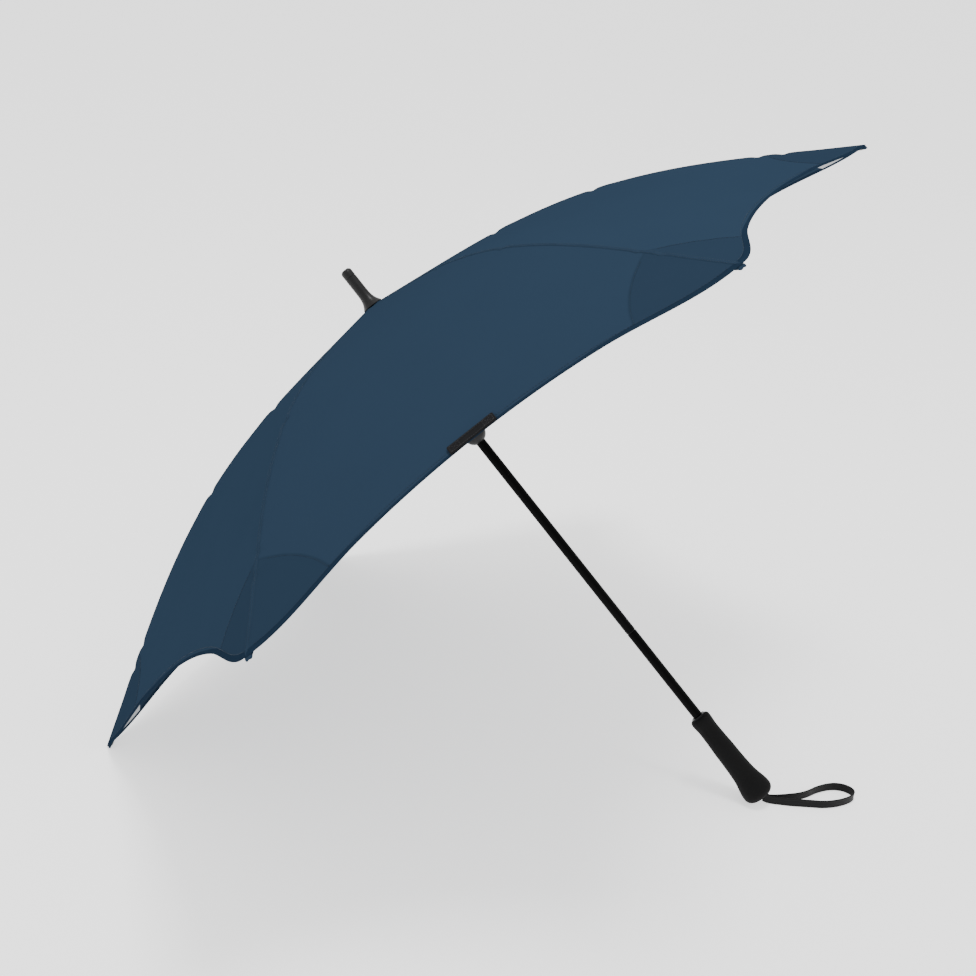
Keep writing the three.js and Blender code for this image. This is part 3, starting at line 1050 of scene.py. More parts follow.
@dataclass(frozen=True)
class Axes:
    """A set of axes on the umbrella, given in the row frame.

    Attributes:
        origin: the crown's apex.
        out: the way x points.
        across: the way y points.
        up: the way z points, up the shaft.
    """

    origin: tuple[float, ...]
    out: tuple[float, ...]
    across: tuple[float, ...]
    up: tuple[float, ...]

    @classmethod
    def of_frame(cls, record: Mapping, pivot_drop: float) -> "Axes":
        """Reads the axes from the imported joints.

        Args:
            record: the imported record.
            pivot_drop: how far the rib pivots lie under the apex.

        Returns:
            The axes.
        """
        joints = {j["name"]: j for j in record["behaviour"]["joints"]}
        up = -np.array(joints["runner_slide"]["axis"])
        up /= np.linalg.norm(up)
        pivots = np.array([joints[f"rib_hinge_{k}"]["pos_m"] for k in range(1, PANELS + 1)])
        across = np.array([0.0, 1.0, 0.0])
        out = np.cross(across, up)
        return cls(tuple(pivots.mean(axis=0) + up * pivot_drop), tuple(out), tuple(across), tuple(up))

    def turned(self, degrees: float) -> "Axes":
        """The same axes, turned about the shaft.

        Args:
            degrees: how far.

        Returns:
            The turned axes.
        """
        c, s = math.cos(math.radians(degrees)), math.sin(math.radians(degrees))
        out, across = np.array(self.out), np.array(self.across)
        return Axes(self.origin, tuple(out * c + across * s), tuple(across * c - out * s), self.up)

    def row(self, points: Points) -> Points:
        """Points from these axes, in the row frame."""
        basis = np.array([self.out, self.across, self.up])
        return np.asarray(points) @ basis + np.array(self.origin)

    def direction(self, vectors: Points) -> Points:
        """Directions from these axes, in the row frame."""
        return np.asarray(vectors) @ np.array([self.out, self.across, self.up])


@dataclass(frozen=True)
class CanopyForm:
    """The canopy's shape: a dome whose seams curve over the ribs, cut to scallops at its hem.

    Attributes:
        middle_reach: from the shaft to the middle of a panel's hem.
        tip_reach: from the shaft to the line through two neighbouring tips.
        scallop_start: where the hem leaves its shallow curve, from mid-panel.
        scallop_end: where it runs straight out to the tip.
        scallop_rise: the rise of the shallow curve at its end.
        inner: the hole round the shaft.
        slope_crown: the seam's slope at the crown, in degrees.
        slope_tip: its slope at the tip.
        bend_from: where the slope starts to change.
        bend_to: where it stops.
        sag: how far the middle of a panel is pulled in.
        tacks: where the seam is tied down to its rib.
        tack_depth: how far each tie pulls it in.
        tack_size: how far that dip reaches along and across the seam.
        swell: the swelling beside a dip: its height in dips, its place, and its reach along and across.
        ripple: the height of the pull lines at the corners.
        pull: where the pull lines meet, out along the rib.
        pull_band: how far from there they lie, and over what width.
        pull_waves: how many waves they have to a radian.
    """

    middle_reach: float = 0.483
    tip_reach: float = 0.522
    scallop_start: float = 0.150
    scallop_end: float = 0.290
    scallop_rise: float = 0.012
    inner: float = 0.010
    slope_crown: float = 7.14
    slope_tip: float = 32.07
    bend_from: float = 0.0797
    bend_to: float = 0.5158
    sag: float = 0.0030
    tacks: tuple[float, ...] = (0.175, 0.302, 0.488, 0.515)
    tack_depth: float = 0.0018
    tack_size: tuple[float, float] = (0.0048, 0.012)
    swell: tuple[float, float, float, float] = (0.25, 0.016, 0.012, 0.02)
    ripple: float = 0.0002
    pull: float = 0.6027
    pull_band: tuple[float, float] = (0.13, 0.075)
    pull_waves: float = 19.0

    @property
    def corner(self) -> tuple[float, float]:
        """A panel's outer corner: its reach from the shaft, and its distance from mid-panel."""
        return self.tip_reach, self.tip_reach * HALF_TAN

    def grid(self, share: Points, out: Points) -> tuple[Points, Points]:
        """The seam radius and the share of each point of a panel's grid.

        Args:
            share: the columns' places across the panel.
            out: the rows' shares of the way from the shaft's hole to the hem.

        Returns:
            Two grids, of the radii and of the shares.
        """
        radius = self.inner + (self.hem_radius(share)[None, :] - self.inner) * out[:, None]
        return radius, np.broadcast_to(share, radius.shape)

    def slope(self, radius: Points) -> Points:
        """The seam's slope, in radians.

        Args:
            radius: the distance out along the rib.

        Returns:
            The slope.
        """
        t = np.clip((radius - self.bend_from) / (self.bend_to - self.bend_from), 0, 1)
        t = t * t * (3 - 2 * t)
        return np.radians(self.slope_crown + (self.slope_tip - self.slope_crown) * t)

    def seam_height(self, radius: Points) -> Points:
        """The seam's height, found by adding up its slope outwards.

        Args:
            radius: the distance out along the rib.

        Returns:
            The height.
        """
        edges = np.linspace(0, 0.65, 1301)
        middles = (edges[1:] + edges[:-1]) / 2
        heights = np.concatenate([[0.0], np.cumsum(-np.tan(self.slope(middles)) * np.diff(edges))])
        return np.interp(radius, edges, heights)

    def hem_reach(self, across: Points) -> Points:
        """From the shaft to the hem, for points at a distance from mid-panel.

        Args:
            across: the distance from mid-panel.

        Returns:
            The reach, straight out from the shaft.
        """
        side = np.abs(across)
        shallow = self.middle_reach + self.scallop_rise * (side / self.scallop_start) ** 2
        run = self.scallop_end - self.scallop_start
        t = np.clip((side - self.scallop_start) / run, 0, 1)
        start = self.middle_reach + self.scallop_rise
        tilt = 2 * self.scallop_rise / self.scallop_start
        rise = start + (self.tip_reach - start) * t * t * (3 - 2 * t) + tilt * run * t * (1 - t) ** 2
        return np.where(side <= self.scallop_start, shallow, rise)

    def hem_radius(self, share: Points) -> Points:
        """The seam radius at which each line across a panel meets the hem.

        Args:
            share: the place along such a line, from -0.5 to 0.5.

        Returns:
            The radius.
        """
        radius = np.full_like(np.asarray(share, float), self.tip_reach)
        for _ in range(14):
            radius = self.hem_reach(radius * share) / HALF_COS
        return radius

    def share_out(self, tack: float) -> Points:
        """Shares of the way from the crown to the tip, close together round a tack."""
        near = tack + np.array([-0.0075, -0.005, -0.0025, 0.0, 0.0025, 0.005, 0.0075])
        return (near - self.inner) / (self.tip_reach / HALF_COS - self.inner)

    def detail(self, radius: Points, edge: Points) -> Points:
        """How far the cloth stands off the plain form.

        Args:
            radius: the seam radius.
            edge: the distance from the nearest seam.

        Returns:
            The height to add.
        """
        off = np.zeros(np.broadcast(radius, edge).shape)
        dip_along, dip_across = self.tack_size
        swell, swell_at, swell_along, swell_across = self.swell
        for tack in self.tacks:
            dip = np.exp(-(((radius - tack) / dip_along) ** 2)) * np.exp(-edge / dip_across)
            past = radius - tack - swell_at
            rise = np.exp(-((past / swell_along) ** 2)) * np.exp(-edge / swell_across)
            off -= self.tack_depth * dip
            off += swell * self.tack_depth * rise
        share = edge / np.maximum(radius, 0.02)
        valley = np.sin(math.pi * np.clip(radius / 0.6, 0, 1)) * (1 - (1 - 2 * np.clip(share, 0, 0.5)) ** 2)
        off -= self.sag * valley
        away = np.hypot(edge, (self.pull - radius) * 0.9)
        angle = np.arctan2(edge, np.maximum(self.pull - radius, 1e-4))
        middle, width = self.pull_band
        fade = np.exp(-(((away - middle) / width) ** 2)) * np.clip(edge / 0.02, 0, 1)
        return off + self.ripple * np.sin(angle * self.pull_waves + 0.6) * fade

    def face(self, radius: Points, share: Points, plain: bool = False) -> Points:
        """Points of a panel, in axes whose x runs down its middle.

        Args:
            radius: the seam radius of the line across the panel.
            share: the place along that line, from -0.5 to 0.5.
            plain: whether to leave the cloth's small detail out.

        Returns:
            The points.
        """
        radius, share = np.broadcast_arrays(np.asarray(radius, float), np.asarray(share, float))
        height = self.seam_height(radius)
        if not plain:
            height = height + self.detail(radius, radius * (0.5 - np.abs(share)))
        return np.stack([radius * HALF_COS, radius * share, height], axis=-1)

    def normal(self, radius: Points, share: Points) -> Points:
        """The panel's outward normal at its points.

        Args:
            radius: the seam radius of the line across the panel.
            share: the place along that line, from -0.5 to 0.5.

        Returns:
            The normals.
        """
        d = 0.0015
        down = self.face(radius + d, share) - self.face(radius - d, share)
        side = self.face(radius, share + 0.004) - self.face(radius, share - 0.004)
        return unit(np.cross(down, side))

    def lifted(self, radius: Points, share: Points, lift: Points | float) -> Points:
        """Points off the panel's face by a distance along its normal."""
        return self.face(radius, share) + self.normal(radius, share) * np.asarray(lift)[..., None]

    def ridge(self, radius: Points, side: Points, lift: Points | float) -> Points:
        """Points beside a seam, in axes whose x runs along its rib.

        Args:
            radius: the distance out along the rib.
            side: the distance to the side of the seam.
            lift: how far off the cloth.

        Returns:
            The points.
        """
        radius, side, lift = np.broadcast_arrays(radius, side, lift)
        line = radius + np.abs(side) * HALF_TAN
        height = self.seam_height(line) + self.detail(line, np.abs(side) / HALF_COS)
        slope = self.slope(line)
        return np.stack([radius + np.sin(slope) * lift, side, height + np.cos(slope) * lift], axis=-1)


class Side(Enum):
    """The two sides of a panel."""

    LEFT = -1
    RIGHT = 1


# ---------------------------------------------------------------- sub-assemblies


@dataclass
class WristStrap:
    """The strap: flat webbing on its edge on the floor, both ends in the handle's plug.

    Attributes:
        end_face: the middle of the handle's end face.
        width: the webbing's width.
        thickness: its thickness.
        length: its length along the loop.
        drift: how far the loop has slid away from the front.
        route: places from the end face, with the third number the height above the floor, in mm.
    """

    end_face: tuple[float, float, float]
    width: float = 0.011
    thickness: float = 0.0015
    length: float = 0.266
    drift: float = 0.0115
    route: tuple[tuple[float, float, float], ...] = (
        (3.4, 1.2, 8.9),
        (8.5, 2.6, 6.6),
        (15, 3.6, 5.8),
        (25, 5, 5.7),
        (36, 6.4, 5.7),
        (52, 9.8, 5.7),
        (64, 13.4, 5.7),
        (75, 18.2, 5.7),
        (85, 24.6, 5.7),
        (94, 32.8, 5.7),
        (101.5, 42, 5.7),
        (107, 52, 5.7),
        (108, 60.5, 5.7),
        (103.5, 67.5, 5.7),
        (93, 70.4, 5.7),
        (82, 67.6, 5.7),
        (72, 60, 5.7),
        (62, 47.5, 5.7),
        (54, 35, 5.7),
        (45, 25.5, 5.7),
        (34, 18.4, 5.7),
        (23, 12.4, 5.7),
        (13, 7.6, 6),
        (7, 5, 6.9),
        (3.2, 4.1, 9),
    )

    def centreline(self) -> Points:
        """The strap's own line, smooth through its route.

        Returns:
            The points, in the row frame.
        """
        places = np.array(self.route) * MM
        drift = np.clip(places[:, 0] / 0.06, 0, 1) * self.drift
        places[:, 0] += self.end_face[0] - 0.34 * drift
        places[:, 1] += self.end_face[1] + 0.94 * drift
        padded = np.concatenate([[2 * places[0] - places[1]], places, [2 * places[-1] - places[-2]]])
        steps = 9
        line = []
        for a, b, c, d in zip(padded, padded[1:], padded[2:], padded[3:]):
            square, cube = 2 * a - 5 * b + 4 * c - d, 3 * b - a - 3 * c + d
            for t in np.arange(steps) / steps:
                line.append(0.5 * (2 * b + (c - a) * t + square * t * t + cube * t**3))
        return np.array([*line, places[-1]])

    def build(self) -> bpy.types.Object:
        """Returns:
            The strap.
        """
        line = self.centreline()
        ahead = unit(np.gradient(line, axis=0))
        side = unit(np.cross([0.0, 0.0, 1.0], ahead))
        up = np.cross(ahead, side)
        half, thin = self.width / 2, self.thickness / 2
        edge = 0.0006
        section = [(-thin * 1.15, edge - half), (-thin * 0.6, -half)]
        section += [(thin * 0.6, -half), (thin * 1.15, edge - half)]
        section += [(thin * 0.8, s * half) for s in (-0.72, -0.36, 0.0, 0.36, 0.72)]
        section += [(-x, -y) for x, y in section]
        ring = np.array(section)
        rings = line[:, None] + side[:, None] * ring[None, :, :1] + up[:, None] * ring[None, :, 1:]
        rings[..., 2] = np.maximum(rings[..., 2], 0.0001)
        along = distances(line)
        pattern = flat_pattern(ring[:, 1], along[:, None])
        strap = Mould.swept("wrist_strap_webbing", rings, pattern, 60.0)
        fit(strap, STRAP_WEBBING, "frame", "wrist_strap")
        LOG.info("wrist strap: %.4f m long, declared %.3f m", along[-1], self.length)
        return strap


@dataclass
class Canopy:
    """Six cloth panels, with their hems, seams, corner pockets, tip pouches and stitching.

    Attributes:
        axes: the umbrella's axes.
        form: the canopy's shape.
        thickness: the cloth's thickness.
        keep: the share of a panel's width that is left when the umbrella is closed. Not used.
        hem_width: the turned hem's width at the corners.
        hem_middle: the share of that width that it has at mid-panel.
        hem_widens: how far from mid-panel it starts to widen, and over what distance.
        seam_width: the felled seam's width.
        lining: from a corner to where its lining starts, and to where it ends.
        lining_angles: the angles in degrees that the lining spans at its corner.
        lining_inset: from the hem to the lining.
        pouch: a tip pouch's length, width and thickness.
        seam_run: where a seam starts and ends, out along the rib.
        hem_section: the hem's outline, as shares of its width and as mm off the cloth.
        seam_section: the seam's outline, as shares of half its width and as mm off the cloth.
    """

    axes: Axes
    form: CanopyForm = field(default_factory=CanopyForm)
    thickness: float = 0.00025
    keep: float = 0.18
    hem_width: float = 0.0062
    hem_middle: float = 0.55
    hem_widens: tuple[float, float] = (0.12, 0.07)
    seam_width: float = 0.0056
    lining: tuple[float, float] = (0.008, 0.072)
    lining_angles: tuple[float, float] = (212.0, 262.0)
    lining_inset: float = 0.0045
    pouch: tuple[float, float, float] = (0.044, 0.0100, 0.0052)
    seam_run: tuple[float, float] = (0.0145, 0.601)
    hem_section: tuple[tuple[float, float], ...] = (
        *((1.0, 0.02), (0.96, 0.34), (0.3, 0.42), (0.06, 0.4), (-0.06, 0.05)),
        *((-0.04, -0.5), (0.08, -0.75), (0.4, -0.72), (0.96, -0.6), (1.0, -0.3)),
    )
    seam_section: tuple[tuple[float, float], ...] = (
        *((-1, -0.05), (-0.94, 0.3), (-0.3, 0.42), (0, 0.45), (0.3, 0.42)),
        *((0.94, 0.3), (1, -0.05), (0.8, -0.5), (0, -0.55), (-0.8, -0.5)),
    )

    def panel_axes(self, number: int) -> Axes:
        """Axes down the middle of a panel."""
        return self.axes.turned((number - 1) * math.degrees(PANEL_ANGLE))

    def rib_axes(self, number: int) -> Axes:
        """Axes along a rib."""
        return self.axes.turned((number - 0.5) * math.degrees(PANEL_ANGLE))

    def dress(self, piece: bpy.types.Object, finish: Finish, number: int) -> bpy.types.Object:
        """Gives a panel's piece its finish and hangs it on the panel's body, with a mesh of its own.

        Args:
            piece: the piece.
            finish: its finish.
            number: the panel's number.

        Returns:
            The piece.
        """
        fit(piece, finish, f"gore_{number}")
        self.panel_axes(number).across
        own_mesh(piece)
        return piece

    def panel(self, number: int) -> bpy.types.Object:
        """Makes one panel's cloth.

        Args:
            number: its number.

        Returns:
            The cloth.
        """
        form, axes = self.form, self.panel_axes(number)
        share = 0.5 * np.sin(np.linspace(-math.pi / 2, math.pi / 2, 61))
        out = [np.linspace(0, 1, 73), *(form.share_out(tack) for tack in form.tacks)]
        top = form.face(*form.grid(share, np.unique(np.concatenate(out))))
        bottom = top - np.array([0, 0, self.thickness])
        pattern = flat_pattern(top[..., 1], top[..., 0])
        cloth = Mould.shell(f"panel_cloth_{number}", axes.row(top), axes.row(bottom), pattern)
        self.dress(cloth, CLOTH, number)
        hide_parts(f"gore_{number}")
        return cloth

    def panel_area(self) -> float:
        """One panel's area as cut flat, from the plain form.

        Returns:
            The area in square metres.
        """
        places = self.form.grid(np.linspace(-0.5, 0.5, 121), np.linspace(0, 1, 121))
        grid = self.form.face(*places, plain=True)
        first = np.cross(grid[1:, :-1] - grid[:-1, :-1], grid[:-1, 1:] - grid[:-1, :-1])
        second = np.cross(grid[:-1, 1:] - grid[1:, 1:], grid[1:, :-1] - grid[1:, 1:])
        return float((np.linalg.norm(first, axis=-1) + np.linalg.norm(second, axis=-1)).sum() / 2)

    def hem(self, number: int) -> bpy.types.Object:
        """Makes a panel's turned hem, wider over the pockets, in a darker cloth that paints the shade under
        its curled edge.

        Args:
            number: the panel's number.

        Returns:
            The hem.
        """
        form, axes = self.form, self.panel_axes(number)
        share = 0.499 * np.sin(np.linspace(-math.pi / 2, math.pi / 2, 141))
        edge = form.hem_radius(share)
        across = np.abs(share) * edge
        start, run = self.hem_widens
        grown = np.clip((across - start) / run, 0, 1)
        wide = self.hem_width * (self.hem_middle + (1 - self.hem_middle) * grown)
        section = np.array(self.hem_section)
        rings = [form.lifted(edge - back * wide * 1.1, share, lift * MM) for back, lift in section]
        pattern = flat_pattern(across[:, None], section[:, 0] * self.hem_width)
        hem = Mould.swept(f"hem_{number}", axes.row(np.stack(rings, axis=1)), pattern, 50.0)
        return self.dress(hem, HEM_PAINTED_SHADE, number)

    def pocket(self, number: int, side: Side) -> bpy.types.Object:
        """Makes the lining under one corner of a panel.

        Args:
            number: the panel's number.
            side: which corner.

        Returns:
            The lining.
        """
        form, axes = self.form, self.panel_axes(number)
        corner = form.corner
        angle = np.radians(np.linspace(*self.lining_angles, 25))[:, None]
        away = np.linspace(*self.lining, 22)[None, :]
        reach = corner[0] + away * np.cos(angle)
        aside = corner[1] + away * np.sin(angle)
        reach = np.minimum(reach, form.hem_reach(aside) - self.lining_inset)
        radius = reach / HALF_COS
        share = np.clip(aside / radius, -0.49, 0.49) * side.value
        grids = [form.lifted(radius, share, lift) for lift in (-0.0004, -0.0008)]
        if side is Side.LEFT:
            grids = [g[::-1] for g in grids]
        pattern = flat_pattern(grids[0][..., 1], grids[0][..., 0])
        name = f"pocket_{number}_{side.name.lower()}"
        patch = Mould.shell(name, axes.row(grids[0]), axes.row(grids[1]), pattern)
        return self.dress(patch, LINING, number)

    def sewing(self, number: int) -> bpy.types.Object:
        """Makes a panel's stitches: along its hem and round both pockets.

        Args:
            number: the panel's number.

        Returns:
            The stitches.
        """
        form, axes = self.form, self.panel_axes(number)
        share = np.linspace(-0.485, 0.485, 160)
        past_hem, in_pocket, clear = 1.18, 0.0015, 0.007
        hem = form.hem_radius(share) - self.hem_width * past_hem
        lines = [self._sewn(axes, hem, share)]
        corner = form.corner
        angle = np.radians(np.linspace(213.0, 262.0, 40))
        away = CLOTH.pocket - in_pocket
        aside = corner[1] + away * np.sin(angle)
        reach = corner[0] + away * np.cos(angle) / CLOTH.stretch
        radius = np.minimum(reach, form.hem_reach(aside) - clear) / HALF_COS
        lines += [self._sewn(axes, radius, side.value * aside / radius) for side in Side]
        stitches = Mould.stitches(f"panel_stitching_{number}", lines)
        return self.dress(stitches, NAVY_THREAD, number)

    def _sewn(self, axes: Axes, radius: Points, share: Points) -> SewnLine:
        """A line of stitches on a panel's face."""
        path = self.form.lifted(radius, share, 0.0001)
        return SewnLine(axes.row(path), axes.direction(self.form.normal(radius, share)))

    def seam(self, number: int) -> tuple[bpy.types.Object, bpy.types.Object]:
        """Makes the felled seam over a rib, with its two rows of stitches.

        Args:
            number: the rib's number.

        Returns:
            The seam and its stitches.
        """
        form, axes = self.form, self.rib_axes(number)
        radius = np.linspace(*self.seam_run, 320)[:, None]
        half = self.seam_width / 2
        section = np.array(self.seam_section)
        narrow = np.clip((0.602 - radius) / 0.004, 0.25, 1) * half
        rings = axes.row(form.ridge(radius, section[:, 0] * narrow, section[:, 1] * MM))
        pattern = flat_pattern(section[:, 0] * half, radius)
        band = Mould.swept(f"seam_{number}", rings[::-1], pattern[::-1], 60.0)
        lines = []
        run = np.linspace(0.02, 0.598, 320)
        for side in (-0.62, 0.62):
            aside = np.full_like(run, side * half)
            path = form.ridge(run, aside, 0.36 * MM)
            up = form.ridge(run, aside, 1.36 * MM) - path
            lines.append(SewnLine(axes.row(path), axes.direction(up)))
        stitches = Mould.stitches(f"seam_stitching_{number}", lines)
        for piece, finish in ((band, SEAM), (stitches, NAVY_THREAD)):
            fit(piece, finish, f"rib_{number}")
        return band, stitches

    def tip_pouch(self, number: int) -> bpy.types.Object:
        """Makes the cloth pouch that holds a rib's tip.

        Args:
            number: the rib's number.

        Returns:
            The pouch.
        """
        length, width, thick = self.pouch
        end = self.form.tip_reach / HALF_COS - 0.0012
        nose = 0.0024
        back = np.concatenate([np.linspace(0, nose, 5), np.linspace(0.004, length, 24)])
        radius = (end - back)[::-1, None]
        blunt = 0.75 + 0.25 * np.sqrt(np.clip(1 - (1 - back / nose).clip(0, 1) ** 2, 0, 1))
        open_end = 1 - 0.55 * np.clip((back - length * 0.6) / (length * 0.4), 0, 1) ** 2
        size = (blunt * open_end)[::-1, None]
        turn = np.linspace(0, 2 * math.pi, 20, endpoint=False)[None, :]
        across = np.sign(np.cos(turn)) * np.abs(np.cos(turn)) ** 0.75 * width / 2 * size
        rise = np.sign(np.sin(turn)) * np.abs(np.sin(turn)) ** 0.75 * thick / 2 * size
        height = self.form.seam_height(radius + np.abs(across) * HALF_TAN) + rise - thick / 2 - 0.0003
        rings = np.stack(np.broadcast_arrays(radius, across, height), axis=-1)
        rings = self.rib_axes(number).row(rings)
        rings[..., 2] = np.maximum(rings[..., 2], 0.0002)
        pouch = Mould.swept(f"tip_pouch_{number}", rings, flat_pattern(across, radius), 50.0)
        return fit(pouch, SEAM, f"rib_{number}")

    def build(self) -> None:
        """Makes the whole canopy."""
        area = self.panel_area()
        for number in range(1, PANELS + 1):
            cloth = self.panel(number)
            trim = [self.hem(number), self.sewing(number), *(self.pocket(number, side) for side in Side)]
            self.seam(number)
            self.tip_pouch(number)
            LOG.info("panel %d: %.4f m2 of cloth, with hem, pockets and stitching", number, area)


@dataclass
class Tie:
    """The webbing tie sewn to one hem, and the pad behind it.

    Attributes:
        canopy: the canopy that it is sewn to.
        panel: that panel's number.
        length: the band's length along the hem.
        width: its width.
        thickness: its thickness.
        from_hem: from its outer edge to the hem.
        lift: from the cloth to its underside.
        pad: the backing pad's width, length and thickness.
        margin: from its edge to its stitches.
        box: the length of each crossed box of stitches.
    """

    canopy: Canopy
    panel: int = 6
    length: float = 0.057
    width: float = 0.0135
    thickness: float = 0.0014
    from_hem: float = -0.0025
    lift: float = 0.0014
    pad: tuple[float, float, float] = (0.012, 0.022, 0.0009)
    margin: float = 0.0022
    box: float = 0.0115

    def _axes(self) -> Axes:
        """Axes on the hem's face, with z off the cloth.

        Returns:
            The axes.
        """
        form = self.canopy.form
        radius = (form.middle_reach - self.from_hem - self.width / 2) / HALF_COS
        panel = self.canopy.panel_axes(self.panel)
        at = panel.row(form.face(radius, 0.0))
        up = panel.direction(form.normal(np.array(radius), np.array(0.0)))
        across = np.array(panel.across)
        return Axes(tuple(at), tuple(np.cross(across, up)), tuple(across), tuple(up))

    def _slab(
        self, name: str, size: tuple[float, float, float], lift: float, rim: float
    ) -> bpy.types.Object:
        """A flat woven piece with a firmer rim and rounded corners.

        Args:
            name: its name.
            size: width, length and thickness.
            lift: its underside's height off the cloth.
            rim: how much its rim is raised.

        Returns:
            The piece.
        """
        axes = self._axes()
        x, y = np.broadcast_arrays(np.linspace(-1, 1, 25)[:, None], np.linspace(-1, 1, 61)[None, :])
        width, length, thick = size
        inset = 0.0012 * np.clip((np.abs(x) - 0.85) / 0.15, 0, 1) ** 2
        px = x * width / 2
        py = y * (length / 2 - inset)
        fall = np.clip((np.abs(x) - 0.9) / 0.1, 0, 1) ** 2
        fall = np.clip(fall + np.clip((np.abs(y) - 0.97) / 0.03, 0, 1) ** 2, 0, 1)
        band = rim * np.exp(-(((np.abs(x) - 0.86) / 0.06) ** 2))
        top = np.stack([px, py, lift + thick * (1 - 0.45 * fall) + band], axis=-1)
        low = np.stack([px, py, lift + thick * 0.25 * fall], axis=-1)
        return Mould.shell(name, axes.row(top), axes.row(low), flat_pattern(px, py), 60.0)

    def sewing(self) -> bpy.types.Object:
        """The stitches round the band and its two crossed boxes.

        Returns:
            The stitches.
        """
        axes = self._axes()
        top = self.lift + self.thickness
        w, n = self.width / 2 - self.margin, self.length / 2 - self.margin
        inner = n - self.box
        corners = [[(-w, -n), (w, -n), (w, n), (-w, n), (-w, -n)]]
        for s in (-1, 1):
            near, far = s * inner, s * n
            corners += [[(-w, near), (w, near)], [(-w, near), (w, far)], [(w, near), (-w, far)]]
        lines = []
        for shape in corners:
            for a, b in zip(shape, shape[1:]):
                t = np.linspace(0, 1, 12)[:, None]
                path = np.array([(*a, top)]) * (1 - t) + np.array([(*b, top)]) * t
                lines.append(SewnLine(axes.row(path), np.tile(np.array(axes.up), (len(t), 1)), 0.0026))
        return Mould.stitches("tie_stitching", lines, 0.0019)

    def build(self) -> None:
        """Makes the band, the pad and the stitches."""
        size = (self.width, self.length, self.thickness)
        band = self._slab("tie_webbing_band", size, self.lift, 0.00012)
        pad = self._slab("tie_backing", self.pad, 0.0003, 0.0)
        body, slot = f"gore_{self.panel}", "tie_webbing"
        fit(band, TIE_WEBBING, body, "tie_band")
        # the pad takes the hem's darker cloth, which is painted shade
        fit(pad, HEM_PAINTED_SHADE, body, "tie_pad")
        fit(self.sewing(), BLACK_THREAD, body)
        LOG.info("tie: %.0f mm band with its backing", self.length / MM)


@dataclass
class Shaft:
    """The two black tubes, with a groove where they meet and a window for each catch.

    Attributes:
        axes: the umbrella's axes.
        radius: the tubes' outside radius.
        bore: their inside radius.
        top: the upper tube's top.
        joint: where the tubes meet.
        bottom: the lower tube's end.
        groove: half the gap between the tubes.
        windows: the heights of the catches' windows.
        opening: half a window's width and half its height.
    """

    axes: Axes
    radius: float = 0.00625
    bore: float = 0.0053
    top: float = 0.008
    joint: float = -0.520
    bottom: float = -0.768
    groove: float = 0.0004
    windows: tuple[float, float] = (-0.2224, -0.560)
    opening: tuple[float, float] = (0.002, 0.0048)

    def tube(self, name: str, low: float, high: float, window: float) -> bpy.types.Object:
        """Makes one tube with rolled ends.

        Args:
            name: its name.
            low: its lower end.
            high: its upper end.
            window: its window's height.

        Returns:
            The tube.
        """
        r, b, roll = self.radius, self.bore, 0.0006
        profile = [(b, low), (r - roll, low), (r - roll * 0.3, low + roll * 0.3), (r, low + roll)]
        profile += [(r, low + (high - low) * t) for t in (0.25, 0.5, 0.75)]
        profile += [(r, high - roll), (r - roll * 0.3, high - roll * 0.3), (r - roll, high), (b, high)]
        tube = Mould.turned(name, profile, self.axes, 64)
        half, tall = self.opening
        low_corner, high_corner = (0.002, -half, window - tall), (0.014, half, window + tall)
        tool = Mould.block("window", low_corner, high_corner, self.axes.turned(CATCH_ANGLE))
        return Mould.carve(tube, [tool])

    def build(self) -> None:
        """Makes both tubes."""
        upper = self.tube("upper_tube", self.joint + self.groove, self.top, self.windows[0])
        lower = self.tube("lower_tube", self.bottom, self.joint - self.groove, self.windows[1])
        for tube, node in ((upper, "shaft_upper"), (lower, "shaft_lower")):
            fit(tube, SHAFT_PAINT, "frame", node)
        LOG.info("shaft: two tubes, %.0f mm in all", (self.top - self.bottom) / MM)


@dataclass
class Ferrule:
    """The moulded ferrule: a flared skirt on the cloth, a straight neck and a rounded end.

    Attributes:
        axes: the umbrella's axes.
        tip: the end's height.
        radius: the neck's radius.
        base: the skirt's radius.
        socket: the depth of its socket.
        bore: the socket's radius.
        rounding: the end's rounding.
    """

    axes: Axes
    tip: float = 0.0548
    radius: float = 0.0072
    base: float = 0.0134
    socket: float = 0.0086
    bore: float = 0.00655
    rounding: float = 0.0042

    def build(self) -> None:
        """Makes the ferrule."""
        r, t, base = self.radius, self.tip, self.base
        profile = [(self.bore, self.socket), (self.bore, 0.0002)]
        profile += [(base - 0.0016, -0.0012), (base - 0.0003, -0.0011)]
        profile += bezier([(base, -0.0004), (base - 0.0036, 0.005), (r, 0.008), (r, 0.021)], 18)
        profile += [(r, t - 0.0125), (r - 0.0004, t - 0.0121), (r - 0.0004, t - 0.0113)]
        profile += [(r, t - 0.0109), (r, t - 0.006)]
        profile += arc((r - self.rounding, t - self.rounding), self.rounding, 8, 62, 8)
        profile += [(r - 0.0026, t), (0.0006, t), (0.0006, self.socket)]
        ferrule = Mould.turned("ferrule_cap", profile, self.axes, 80)
        fit(ferrule, FERRULE_MOULDED, "frame", "ferrule")
        LOG.info("ferrule: %.0f mm tall", self.tip / MM)


